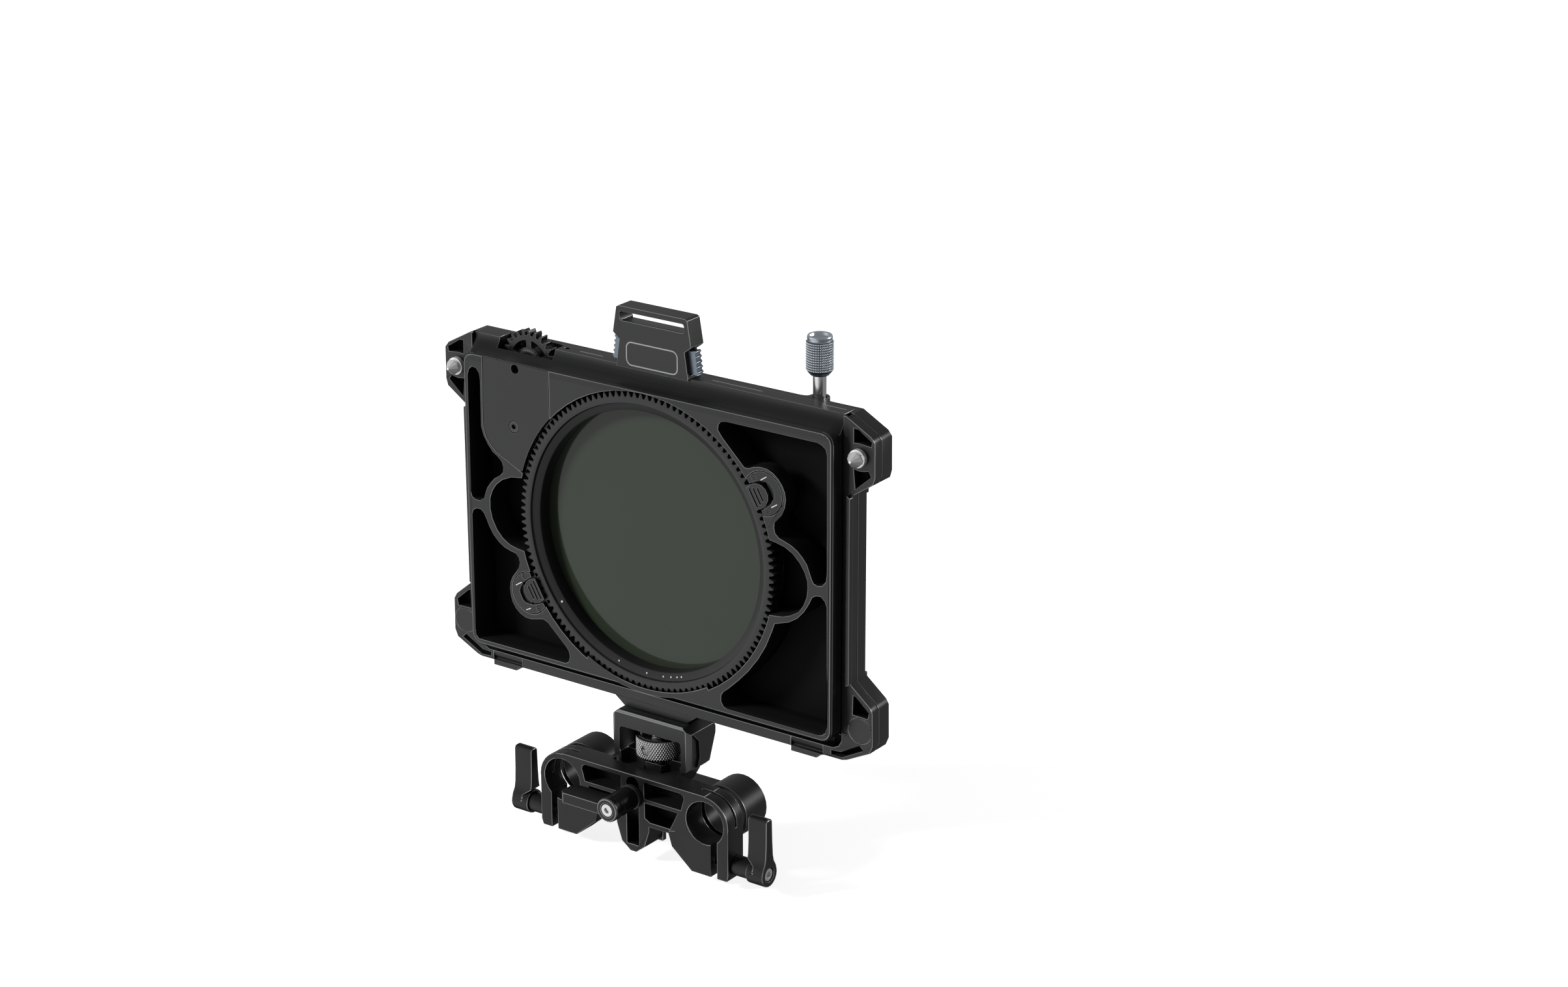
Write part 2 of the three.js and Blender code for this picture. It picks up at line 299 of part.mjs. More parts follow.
const PIN = [81.6, 45.4], CAP = [82.4, -47.7];
{
  const inner = [[75.3, 59], [75.3, -52.9], [74.2, -55.0], [72.0, -56.1]];
  const outline = [...half, ...halfLeft, ...[...inner].map(([x, z]) => [-x, z === 59 ? 58.0 : z]), ...mir(inner.map(([x, z]) => [-x, z === 59 ? 58.0 : z]))];
  // outline runs down the right outside, along the bottom, up the left outside, then the inner edge back
  const holes = [...earHoles, ...earHoles.map((h) => h.map(([x, z]) => [-x, z]))];
  [1, -1].forEach((s) => { holes.push(circle(s * PIN[0], PIN[1], 1.75, 14)); holes.push(circle(s * CAP[0], CAP[1], 4.4, 24)); });
  let f = alongY(outline, FRAME_Y0, SEAM_Y - 0.15, holes);
  for (const s of [1, -1]) {
    const rail = alongY([[s * 77.5, -33.0], [s * 78.9, -32.2], [s * 78.9, 31.4], [s * 77.5, 32.2]], 3.3, FRAME_Y0 + 0.5);
    f = f.add(rail);
    f = f.subtract(s > 0 ? box(75.0, 76.65, 5.75, 9, -51, 60) : box(-76.65, -75.0, 5.75, 9, -51, 60));
    f = f.subtract(s > 0 ? box(75.7, 77.2, 4, FRAME_Y0 + 0.35, -50, 51) : box(-77.2, -75.7, 4, FRAME_Y0 + 0.35, -50, 51));
  }
  // finger scoops above the two tabs
  SCOOPS.forEach(([x0, x1]) => { f = f.subtract(alongX([[4.0, -56.3], [4.75, -56.3], [5.2, -57.9], [5.85, -59.0], [5.6, -59.4], [4.0, -59.4]], x0, x1)); });
  // screw holes from behind
  [[60, -57.7], [30, -57.7], [0, -59.2], [-30, -57.7], [-60, -57.7]].forEach(([x, z]) => { f = f.subtract(cylY(x, z, 0.95, 6.2, 9, 10)); });
  part("frame_front", f, BLACK);
}
{
  const top = [[76.5, 57.9]];
  const outline = [...half, ...halfLeft];
  const holes = [circle(0, 0, 47.9, 44)];
  [1, -1].forEach((s) => { holes.push(circle(s * PIN[0], PIN[1], 1.75, 14)); holes.push(circle(s * CAP[0], CAP[1], 1.75, 14)); });
  let f = alongY(outline, SEAM_Y + 0.15, FRAME_BACK, holes);
  // room for the tray in front of the rear panel
  f = f.subtract(box(-75.3, 75.3, 7, PANEL_Y, -52.7, 60)).subtract(box(-76.65, 76.65, 7, 8.6, -51, 60));
  // slimmer rails between the ears
  for (const s of [1, -1]) f = f.subtract(alongY([[s * 76.6, -31], [s * 82, -31], [s * 82, 30.4], [s * 76.6, 30.4]], 13.4, 16));
  // boss of the clamp screw
  const boss = [[52.9, 13.5], ...arc(KNOB[0] - 5.36, KNOB[1], 2.0, 270, 360, 5), ...arc(KNOB[0], KNOB[1], 3.36, 180, 0, 14).slice(1, -1), ...arc(KNOB[0] + 5.36, KNOB[1], 2.0, 180, 270, 5), [63.62, 13.5]];
  f = f.add(alongZ(boss, 49.0, 57.9));
  f = f.subtract(cylZ(KNOB[0], KNOB[1], 2.4, 45.7, 62, 16));
  // rear screws' countersinks into the front layer
  [[60, -57.7], [30, -57.7], [0, -59.2], [-30, -57.7], [-60, -57.7]].forEach(([x, z]) => { f = f.subtract(cylY(x, z, 1.2, 8, 15, 10)).subtract(cylY(x, z, 2.1, 13.0, 15, 14)); });
  // screws of the height bracket
  for (const x of [-9, 9]) f = f.subtract(cylZ(x, 11.2, 1.65, -64, -58.2, 10));
  // screws that hold the collar
  COLLAR_SCREWS.forEach(([x, z]) => { f = f.subtract(cylY(x, z, 1.0, 11, 15, 10)); });
  part("frame_rear", f, BLACK);
}
for (const s of [1, -1]) {
  // steel cone pin: shank, flange, faceted cone
  const cone = solid(new THREE.LatheGeometry([[0, -0.92], [0.5, -0.92], [0.62, -0.75], [2.65, 1.6], [2.3, 2.5], [3.05, 2.75], [3.05, 4.45], [1.5, 4.45], [1.5, 13.9], [0, 13.9]].map(([r, y]) => new THREE.Vector2(r, y)), 10));
  part(`cone_pin_${names[s]}`, cone, STEEL, head, [s * PIN[0], 0, PIN[1]]);
  const cap = solid(new THREE.LatheGeometry([[0, 5.0], [0.35, 4.8], [4.28, 4.8], [4.28, 6.2], [1.5, 6.2], [1.5, 13.9], [0, 13.9]].map(([r, y]) => new THREE.Vector2(r, y)), 18));
  part(`ear_cap_${names[s]}`, cap, BLACK, head, [s * CAP[0], 0, CAP[1]]);
}
[[60, -57.7], [30, -57.7], [0, -59.2], [-30, -57.7], [-60, -57.7]].forEach(([x, z], i) => {
  const sc = solid(new THREE.LatheGeometry([[0, 6.5], [0.75, 6.5], [0.75, 13.3], [1.85, 13.3], [1.85, 14.3], [0, 14.3]].map(([r, y]) => new THREE.Vector2(r, y)), 8));
  part(`frame_screw_${i + 1}`, sc, DARKSTEEL, head, [x, 0, z]);
});

// split collar behind the frame
{
  let c = turnedY([[51.2, 14.9], [47.5, 14.9], [47.5, 24], [51.2, 24]], 40);
  const inside = cylY(0, 0, 49.3, 8, 32, 40, 4.5);
  for (const [x, z] of COLLAR_SCREWS) c = c.add(cylY(x, z, 3.4, 15.1, 18, 12).subtract(inside));
  for (const [x, z] of COLLAR_SCREWS) c = c.subtract(cylY(x, z, 1.05, 14, 19, 10));
  c = c.add(alongY([[41.6, 28.0], [62.6, 28.0], [64.2, 26.2], [64.2, 9.6], [62.6, 7.8], [49.2, 7.8]], 14.9, 20.0).subtract(inside));
  c = c.subtract(box(42, 70, 10, 30, 16.6, 19.2));
  c = c.subtract(cylZ(KNOB[0], KNOB[1], 1.66, 9.4, 30, 12));
  part("clamp_collar", c, BLACK);
}
COLLAR_SCREWS.forEach(([x, z], i) => {
  const sc = solid(new THREE.LatheGeometry([[0, 12.3], [0.75, 12.3], [0.75, 18.3], [1.7, 18.3], [1.7, 19.5], [0, 19.5]].map(([r, y]) => new THREE.Vector2(r, y)), 8));
  part(`collar_screw_${i + 1}`, sc, DARKSTEEL, head, [x, 0, z]);
});
// clamp screw and knurled knob
{
  const stem = turnedZ([[0, 10.2], [1.35, 10.2], [1.35, 46.0], [2.2, 47.0], [2.2, 69.9], [0, 69.9]], 16);
  part("clamp_screw", stem, STEEL, head, [KNOB[0], KNOB[1], 0]);
  const knob = turnedZ([[2.5, 65.5], [2.95, 65.5], [4.0, 66.8], [4.47, 67.2], [4.47, 76.0], [4.1, 76.6], [4.1, 77.4], [3.75, 78.0], [3.1, 78.0], [2.7, 76.9], [0, 76.67], [0, 70.3], [2.5, 70.3]], 18, true);
  part("clamp_knob", knob, BLUE, head, [KNOB[0], KNOB[1], 0]);
}

// ---------------------------------------------------------------- height bracket (Z from the filter axis)
const BR = 16.4;
{
  // side profile: Y, Z
  const side = [[1.3, -63.7], [2.05, -62.95], [13.2, -62.95], [15.3, -64.5], [16.6, -66.7], [16.6, -69.0], [14.1, -75.6], [12.0, -81.3], [9.2, -84.3], [1.3, -84.3]];
  let b = alongX(side, -BR, BR);
  // front outline: chamfered top corners, lower corners drawn in
  b = b.intersect(alongY([[-12.4, -62.0], [12.4, -62.0], [BR, -65.4], [BR, -78.2], [14.9, -79.6], [13.4, -79.6], [12.6, -84.3], [-12.6, -84.3], [-13.4, -79.6], [-14.9, -79.6], [-BR, -78.2], [-BR, -65.4]], 0, 20));
  // chamfered front corners
  b = b.intersect(alongZ([[-BR + 1.37, 1.3], [BR - 1.37, 1.3], [BR, 2.67], [BR, 20], [-BR, 20], [-BR, 2.67]], -85, -60));
  // wheel chamber, open at the front and back
  b = b.subtract(alongY(rrect(-12.9, 12.9, -78.1, -68.9, 1.2, 2), 0, 12.0));
  b = b.subtract(alongY(rrect(-8.4, 8.4, -78.1, -68.9, 1.2, 2), 11, 20));
  // the chamber's floor starts behind the front face
  b = b.subtract(box(-12.3, 12.3, 0, 5.6, -82.6, -77.0));
  b = b.subtract(cylZ(0, WHEEL_Y, 3.4, -82, -64.9, 16)).subtract(cylZ(0, WHEEL_Y, 5.0, -90, -77.5, 24));
  // tongue behind the clamp's middle leg, slotted for the lock bolt
  let tongue = box(-5.6, 5.6, 0.6, 2.6, -106.5, -84.0);
  b = b.add(box(-5.6, 5.6, 0.6, 1.5, -84.3, -82.6));
  tongue = tongue.subtract(alongY([...arc(0, -86.4, 2.1, 0, 180, 6), ...arc(0, -98.4, 2.1, 180, 360, 6)], 0, 5));
  tongue = tongue.subtract(cylZ(0, WHEEL_Y, 3.4, -107, -60, 16));
  b = b.add(tongue);
  // side recesses
  for (const s of [1, -1]) b = b.subtract(alongX([[3.3, -65.4], [6.9, -69.1], [7.4, -75.2], [5.8, -79.7], [3.3, -79.7]], s > 0 ? BR - 0.85 : -17, s > 0 ? 17 : -BR + 0.85));
  [[-9, 11.2], [9, 11.2]].forEach(([x, y]) => { b = b.subtract(cylZ(x, y, 1.65, -72, -60, 10)); });
  part("height_bracket", b, BLACK);
}
// screws from the wheel chamber's ceiling up into the frame's middle foot
[[-9, 11.2], [9, 11.2]].forEach(([x, y], i) => part(`bracket_screw_${i + 1}`, turnedZ([[0, -69.4], [1.35, -69.4], [1.35, -58.6], [0, -58.6]], 10), DARKSTEEL, head, [x, y, 0]));
part("thumb_wheel", turnedZ([[3.0, -77.7], [6.9, -77.7], [7.6, -77.0], [7.6, -70.6], [6.9, -69.9], [6.1, -69.9], [5.7, -70.8], [3.0, -70.8]].reverse(), 24, true).subtract(solid(new THREE.CylinderGeometry(1.9, 1.9, 4, 6).translate(0, -6.0, 0).translate(0, 0, 0).rotateX(0)).rotate([0, 0, 0]).translate([0, 0, -73.8])), STEEL, head, [0, WHEEL_Y, 0]);

// ---------------------------------------------------------------- rod clamp (Z from the rod axes)
const CF = -8.65, CL = 0.05, CB = 13.5, TOP = 9.8, BOT = -19.1;
{
  // front layer: rings, bridge, legs and jaws in one outline, extruded over the front 8.7 mm
  const R = 9.6;
  const aT = (Math.asin(TOP > R ? 1 : TOP / R) * 180) / Math.PI;
  let c = box(-ROD_X, ROD_X, CF, CL, -6.5, TOP - 0.2).add(box(-15.5, 15.5, CF, CL, -7.8, 0)).add(cylY(ROD_X, 0, R, CF, CL, 28)).add(cylY(-ROD_X, 0, R, CF, CL, 28));
  c = c.add(box(-ROD_X, ROD_X, CF, CL, 4, TOP));
  for (const s of [1, -1]) {
    const leg = [[39.5, 0], [39.5, -17.0], [38.8, BOT], [34.9, BOT], [34.9, -5]];
    const jaw = [[32.4, -5], [32.4, BOT], [24.4, BOT], [16.2, -12.2], [14.6, -7.0], [20, -5.5]];
    c = c.add(alongY(leg.map(([x, z]) => [s * x, z]), CF, CL)).add(alongY(jaw.map(([x, z]) => [s * x, z]), CF, CL));
  }
  // middle leg
  c = c.add(alongY([[6.9, -5], [6.9, -9.4], [4.8, -15.8], [1.2, -18.6], [-1.2, -18.6], [-4.8, -15.8], [-6.9, -9.4], [-6.9, -5]], CF, CL));
  // rear part of the bridge and the rear rings
  const rear = box(-22.5, 22.5, CL - 0.2, CB, -3.5, 4.9).add(cylZ(0, WHEEL_Y, 4.6, 4, 9.6, 24));
  c = c.add(rear);
  c = c.add(cylY(ROD_X, 0, R, 1.9, CB, 28)).add(cylY(-ROD_X, 0, R, 1.9, CB, 28));
  // plan of the cut-out behind which the bracket's front wall goes down; round pocket above the lever
  c = c.subtract(alongZ([[-13.2, -2.1], [9.6, -2.1], [13.4, 1.2], [13.4, 3], [-13.2, 3]], 5.0, 14)).subtract(cylY(0, 6.3, 2.6, -12, -4.8, 20));
  c = c.add(cylZ(0, WHEEL_Y, 4.6, 4, 9.6, 24));
  // front windows, with a cross rib between upper and lower row
  for (const s of [1, -1]) {
    const w1 = [[s * 4.9, 8.1], [s * 19.8, 8.1], [s * 21.0, 7.5], [s * 21.4, 6.4], [s * 20.2, 2.1], [s * 4.9, 2.1]];
    const w2 = [[s * 5.1, 0.6], [s * 18.8, 0.6], [s * 15.6, -6.0], [s * 7.2, -6.0], [s * 5.1, -4.8]];
    c = c.subtract(alongY(w1, -12, -2.0)).subtract(alongY(w2, -12, -2.0));
  }
  // rod bores and the clamping gap below them
  for (const s of [1, -1]) {
    c = c.subtract(cylY(s * ROD_X, 0, ROD_R + 0.15, -12, 16, 24, 5));
    const gap = s > 0 ? box(32.4, 34.9, -12, 1.9, -25, 0) : box(-34.9, -32.4, -12, 1.9, -25, 0);
    c = c.subtract(gap);
    // saw cuts that free the jaw: one short, one between the jaw and the rear ring
    const x0 = s > 0 ? 22.0 : -42, x1 = s > 0 ? 42 : -22.0;
    c = c.subtract(box(x0, x1, -4.5, -3.6, -0.7, 14).subtract(box(s > 0 ? 20 : -26, s > 0 ? 26 : -20, -6, 0, -5, 14)));
    c = c.subtract(box(s > 0 ? 21.7 : -45, s > 0 ? 45 : -21.7, CL, 1.9, -30, 14));
    // lever bolt bore
    c = c.subtract(s > 0 ? cylX(LEVER[0], LEVER[1], 2.3, 14, 42, 14) : cylX(LEVER[0], LEVER[1], 2.3, -42, -14, 14));
    // oval nut seat on the jaw's slanted side
    c = c.subtract(alongX(rrect(LEVER[0] - 3.2, LEVER[0] + 3.2, LEVER[1] - 3.2, LEVER[1] + 3.2, 1.2, 2), s > 0 ? 10 : -26.5, s > 0 ? 26.5 : -10));
  }
  // slot of the bracket's tongue, lock bolt bore, spindle bore, middle slot
  c = c.subtract(box(-5.95, 5.95, 0.25, 2.95, -30, 14));
  c = c.subtract(cylY(0, LOCK_Z, 1.95, -12, 16, 14));
  c = c.subtract(box(-2.5, 2.5, -12, 0.3, -15.9, -1.6));
  c = c.subtract(cylZ(0, WHEEL_Y, 2.3, 4.2, 14, 14));
  // spotface for the lock nut behind
  c = c.subtract(cylY(0, LOCK_Z, 3.9, 11.0, 16, 6));
  part("clamp_body", c, BLACK, root);
}
// spindle of the thumb wheel, fixed in the clamp
part("height_screw", turnedZ([[0, 4.5], [2.0, 4.5], [2.0, 10.6], [2.7, 10.9], [2.7, 23.6], [2.2, 24.1], [0, 24.1]], 16), STEEL, root, [0, WHEEL_Y, 0]);
// side levers
for (const s of [1, -1]) {
  const prof = [[LEVER[1] + 0, 0]];
  const barrel = cylX(LEVER[0], LEVER[1], 3.5, 39.9, 46.6, 16).add(cylX(LEVER[0], LEVER[1], 4.25, 46.2, 53.1, 18));
  const wing = alongX([[-8.25, -13.6], [-7.7, -11.6], [-6.6, -9.7], [-6.15, -7.5], [-5.9, -3], [-5.8, 4.9], [-5.35, 5.7], [-4.6, 6.1], [-3.8, 6.1], [-3.0, 5.7], [-2.55, 4.9], [-2.3, -3], [-2.0, -7.5], [-1.5, -9.7], [-0.4, -11.6], [0.15, -13.6]], 45.7, 53.1);
  const wingFront = alongY([[49.0, -14.2], [48.6, -11.2], [45.7, -9.2], [45.7, 5.6], [46.3, 6.2], [52.5, 6.2], [53.1, 5.6], [53.1, -14.2]], -9, 1);
  let l = barrel.add(wing.intersect(wingFront));
  l = l.subtract(cylX(LEVER[0], LEVER[1], 1.9, 39, 51.2, 14)).subtract(cylX(LEVER[0], LEVER[1], 2.5, 50.6, 54, 16));
  if (s < 0) l = mirrorX(l);
  part(`lever_${names[s]}`, l, BLACK, root);
  let bolt = cylX(LEVER[0], LEVER[1], 1.55, 22.0, 50.9, 12).add(cylX(LEVER[0], LEVER[1], 2.2, 50.9, 52.7, 16)).subtract(solid(new THREE.CylinderGeometry(1.1, 1.1, 3, 6).rotateZ(Math.PI / 2).translate(53.3, LEVER[0], LEVER[1])));
  if (s < 0) bolt = mirrorX(bolt);
  part(`lever_bolt_${names[s]}`, bolt, STEEL, root);
  let nut = alongX(rrect(LEVER[0] - 2.8, LEVER[0] + 2.8, LEVER[1] - 2.8, LEVER[1] + 2.8, 0.5, 1), 23.0, 26.2).subtract(cylX(LEVER[0], LEVER[1], 1.85, 20, 28, 12));
  if (s < 0) nut = mirrorX(nut);
  part(`jaw_nut_${names[s]}`, nut, DARKSTEEL, root);
}
// middle lever, washer, bolt and nut on the lock axis
{
  const L = LOCK_Z;
  let l = turnedY([[1.75, -22.8], [3.9, -22.8], [4.3, -22.4], [4.3, -19.8], [3.7, -18.9], [3.7, -17.9], [4.2, -17.0], [4.2, -10.9], [1.75, -10.9]], 20).translate([0, 0, L]);
  const arm = alongZ([[-2.2, -22.6], [-18.8, -22.6], [-20.1, -21.4], [-20.1, -15.8], [-18.8, -14.6], [-2.2, -14.6]], L - 2.3, L + 1.5);
  l = l.add(arm);
  l = l.subtract(cylY(0, L, 1.75, -30, -8, 14)).subtract(cylY(0, L, 2.5, -30, -21.2, 18));
  part("lever_centre", l, BLACK, root);
  part("lever_washer", alongY(circle(0, L, 4.35, 20), -10.6, -8.95, [circle(0, L, 1.75, 14)]), DARKSTEEL, root);
  part("lever_bolt_centre", cylY(0, L, 1.45, -21.9, 12.6, 12).add(cylY(0, L, 2.2, -22.7, -21.5, 18)).subtract(hexHole(0, L, 1.9, -24, -22.0)), STEEL, root);
  part("lock_nut", alongY(circle(0, L, 3.4, 6, 0), 11.3, 13.4, [circle(0, L, 1.75, 12)]), DARKSTEEL, root);
}

export default root;
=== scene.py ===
import json
import math

import bmesh
import bpy
from mathutils import Matrix, Vector


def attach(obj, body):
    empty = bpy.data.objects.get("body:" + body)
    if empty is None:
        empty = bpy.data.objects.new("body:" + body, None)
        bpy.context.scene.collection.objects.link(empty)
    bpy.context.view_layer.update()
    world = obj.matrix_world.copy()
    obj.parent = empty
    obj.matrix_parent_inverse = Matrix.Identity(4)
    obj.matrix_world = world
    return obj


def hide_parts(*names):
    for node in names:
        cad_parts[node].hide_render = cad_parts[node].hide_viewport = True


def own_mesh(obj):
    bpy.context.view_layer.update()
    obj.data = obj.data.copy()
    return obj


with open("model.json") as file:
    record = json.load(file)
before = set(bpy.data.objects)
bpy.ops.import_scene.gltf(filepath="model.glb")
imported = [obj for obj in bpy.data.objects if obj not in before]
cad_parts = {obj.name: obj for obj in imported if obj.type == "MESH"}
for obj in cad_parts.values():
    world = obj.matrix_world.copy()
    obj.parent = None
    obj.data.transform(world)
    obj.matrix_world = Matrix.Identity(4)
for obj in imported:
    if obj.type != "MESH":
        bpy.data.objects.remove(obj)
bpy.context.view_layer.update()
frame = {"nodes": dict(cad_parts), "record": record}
nodes = frame["nodes"]

RING_Z = 89.6                      # filter axis above the rod axes, mm
MM = 0.001


# ------------------------------------------------------------------ mesh helpers (millimetres in, metres out)
def obj_from(name, verts, faces, dz=RING_Z, smooth=True, sharp=32.0):
    me = bpy.data.meshes.new(name)
    me.from_pydata([(x * MM, y * MM, (z + dz) * MM) for x, y, z in verts], [], faces)
    me.update()
    bm = bmesh.new()
    bm.from_mesh(me)
    bmesh.ops.remove_doubles(bm, verts=bm.verts, dist=1e-7)
    bmesh.ops.recalc_face_normals(bm, faces=bm.faces)
    bm.to_mesh(me)
    bm.free()
    o = bpy.data.objects.new(name, me)
    bpy.context.collection.objects.link(o)
    if smooth:
        shade(o, sharp)
    return o


def shade(o, sharp=32.0):
    me = o.data
    me.polygons.foreach_set("use_smooth", [True] * len(me.polygons))
    bm = bmesh.new()
    bm.from_mesh(me)
    lim = math.radians(sharp)
    for e in bm.edges:
        e.smooth = len(e.link_faces) == 2 and e.calc_face_angle(0) < lim
    bm.to_mesh(me)
    bm.free()


def join(name, objs):
    bm = bmesh.new()
    for o in objs:
        t = bmesh.new()
        t.from_mesh(o.data)
        me = bpy.data.meshes.new("t")
        t.to_mesh(me)
        t.free()
        bm.from_mesh(me)
        bpy.data.meshes.remove(me)
    me = bpy.data.meshes.new(name)
    bm.to_mesh(me)
    bm.free()
    for o in objs:
        d = o.data
        bpy.data.objects.remove(o)
        bpy.data.meshes.remove(d)
    r = bpy.data.objects.new(name, me)
    bpy.context.collection.objects.link(r)
    return r


def grid_solid(rings, closed_u=True, closed_v=True):
    """verts and quads of a surface through rings of points"""
    verts, faces = [], []
    n = len(rings[0])
    for r in rings:
        verts += r
    m = len(rings)
    for i in range(m if closed_v else m - 1):
        for j in range(n if closed_u else n - 1):
            a, b = i * n + j, i * n + (j + 1) % n
            c, d = ((i + 1) % m) * n + (j + 1) % n, ((i + 1) % m) * n + j
            faces.append((a, b, c, d))
    return verts, faces


def lathe(name, prof, cx=0.0, cz=0.0, n=128, axis="Y", cy=0.0, dz=RING_Z, closed=True, bump=None, sharp=32.0, sub=None):
    """profile of (radius, height along the axis) turned about Y or Z; radius 0 at both ends closes it on the axis"""
    rings = []
    for k, (r, h) in enumerate(prof):
        ring = []
        for j in range(n):
            a = 2 * math.pi * j / n
            rr = r + (bump(a, h, r) if bump else 0.0)
            if axis == "Y":
                ring.append((cx + rr * math.cos(a), h, cz + rr * math.sin(a)))
            elif axis == "Z":
                ring.append((cx + rr * math.cos(a), cy + rr * math.sin(a), h))
            else:
                ring.append((h, cy + rr * math.cos(a), cz + rr * math.sin(a)))
        rings.append(ring)
    v, f = grid_solid(rings, True, closed)
    return obj_from(name, v, f, dz, True, sharp)


def bevelled(prof, b, seg=2, keep=()):
    """closed profile with its corners cut by b, in seg steps"""
    out = []
    n = len(prof)
    for i in range(n):
        p = Vector(prof[i]).to_2d()
        a, c = Vector(prof[i - 1]).to_2d(), Vector(prof[(i + 1) % n]).to_2d()
        la, lc = (a - p).length, (c - p).length
        if i in keep or la < 1e-6 or lc < 1e-6:
            out.append((p.x, p.y))
            continue
        q = min(b, la * 0.45, lc * 0.45)
        s, e = p + (a - p) / la * q, p + (c - p) / lc * q
        for k in range(seg + 1):
            t = k / seg
            w = s * (1 - t) ** 2 + p * 2 * t * (1 - t) + e * t ** 2
            out.append((w.x, w.y))
    return out


def offset(pts, d):
    """closed outline moved inwards by d (anticlockwise outline)"""
    n, out = len(pts), []
    for i in range(n):
        p = Vector(pts[i])
        a = (p - Vector(pts[i - 1])).normalized()
        c = (Vector(pts[(i + 1) % n]) - p).normalized()
        na, nc = Vector((-a.y, a.x)), Vector((-c.y, c.x))
        m = na + nc
        m = m / max(0.35, m.length_squared / 2) if m.length_squared > 1e-9 else na
        out.append((p.x + m.x * d, p.y + m.y * d))
    return out


def gear_outline(n, phase, tip, root, flank=5, backlash=0.16, mod=0.8):
    rp, pa = mod * n / 2, math.radians(20)
    rb = rp * math.cos(pa)

    def inv(r):
        c = math.acos(min(1.0, rb / max(r, rb)))
        return math.tan(c) - c

    def half(r):
        return (math.pi * mod / 2 - backlash) / (2 * rp) + inv(rp) - inv(r)
    out = []
    for k in range(n):
        c = math.radians(phase) + 2 * math.pi * (k + 0.5) / n
        rr = [root + (tip - root) * i / (flank - 1) for i in range(flank)]
        out += [(r, c - half(r)) for r in rr] + [(r, c + half(r)) for r in reversed(rr)]
    return out


def gear_band(name, outline, y0, y1, inner, cx=0.0, cz=0.0, b=0.12):
    """toothed outline between y0 and y1 with broken edges, running in to the (radius, y) profile inner"""
    pts = [(r * math.cos(a), r * math.sin(a)) for r, a in outline]
    small = offset(pts, b)
    mid = offset(pts, b * 0.3)
    rings = [[(cx + x, y0, cz + z) for x, z in small], [(cx + x, y0 + b * 0.3, cz + z) for x, z in mid], [(cx + x, y0 + b, cz + z) for x, z in pts],
             [(cx + x, y1 - b, cz + z) for x, z in pts], [(cx + x, y1 - b * 0.3, cz + z) for x, z in mid], [(cx + x, y1, cz + z) for x, z in small]]
    ang = [math.atan2(z, x) for x, z in small]
    for r, y in inner:
        rings.append([(cx + r * math.cos(a), y, cz + r * math.sin(a)) for a in ang])
    v, f = grid_solid(rings)
    return obj_from(name, v, f)


def prism(name, pts, y0, y1, b=0.2, seg=2, dz=RING_Z, holes=(), sharp=30.0):
    """X,Z outline between y0 and y1 with rounded edges"""
    bm = bmesh.new()
    lo = [bm.verts.new((x * MM, y0 * MM, (z + dz) * MM)) for x, z in pts]
    hi = [bm.verts.new((x * MM, y1 * MM, (z + dz) * MM)) for x, z in pts]
    n = len(pts)
    bm.faces.new(lo)
    bm.faces.new(list(reversed(hi)))
    for i in range(n):
        bm.faces.new((lo[i], hi[i], hi[(i + 1) % n], lo[(i + 1) % n]))
    bmesh.ops.recalc_face_normals(bm, faces=bm.faces)
    if b > 0:
        es = [e for e in bm.edges if e.calc_face_angle(0) > math.radians(sharp)]
        bmesh.ops.bevel(bm, geom=es, offset=b * MM, segments=seg, profile=0.5, affect="EDGES", clamp_overlap=True)
    me = bpy.data.meshes.new(name)
    bm.to_mesh(me)
    bm.free()
    o = bpy.data.objects.new(name, me)
    bpy.context.collection.objects.link(o)
    shade(o, 35)
    return o


# ------------------------------------------------------------------ materials
def new_mat(name):
    m = bpy.data.materials.new(name)
    m.use_nodes = True
    nt = m.node_tree
    nt.nodes.clear()
    out = nt.nodes.new("ShaderNodeOutputMaterial")
    b = nt.nodes.new("ShaderNodeBsdfPrincipled")
    nt.links.new(b.outputs[0], out.inputs[0])
    return m, nt, b


def noise_node(nt, scale, detail=3.0, rough=0.5, coord=None):
    n = nt.nodes.new("ShaderNodeTexNoise")
    n.inputs["Scale"].default_value = scale
    n.inputs["Detail"].default_value = detail
    n.inputs["Roughness"].default_value = rough
    if coord is None:
        coord = nt.nodes.new("ShaderNodeTexCoord").outputs["Object"]
    nt.links.new(coord, n.inputs["Vector"])
    return n


def ramp(nt, fac, stops):
    r = nt.nodes.new("ShaderNodeValToRGB")
    e = r.color_ramp.elements
    while len(e) > 1:
        e.remove(e[-1])
    e[0].position, e[0].color = stops[0][0], (*stops[0][1], 1)
    for p, c in stops[1:]:
        k = e.new(p)
        k.color = (*c, 1)
    nt.links.new(fac, r.inputs[0])
    return r


def maprange(nt, val, a, b, c, d):
    n = nt.nodes.new("ShaderNodeMapRange")
    n.inputs[1].default_value, n.inputs[2].default_value = a, b
    n.inputs[3].default_value, n.inputs[4].default_value = c, d
    nt.links.new(val, n.inputs[0])
    return n


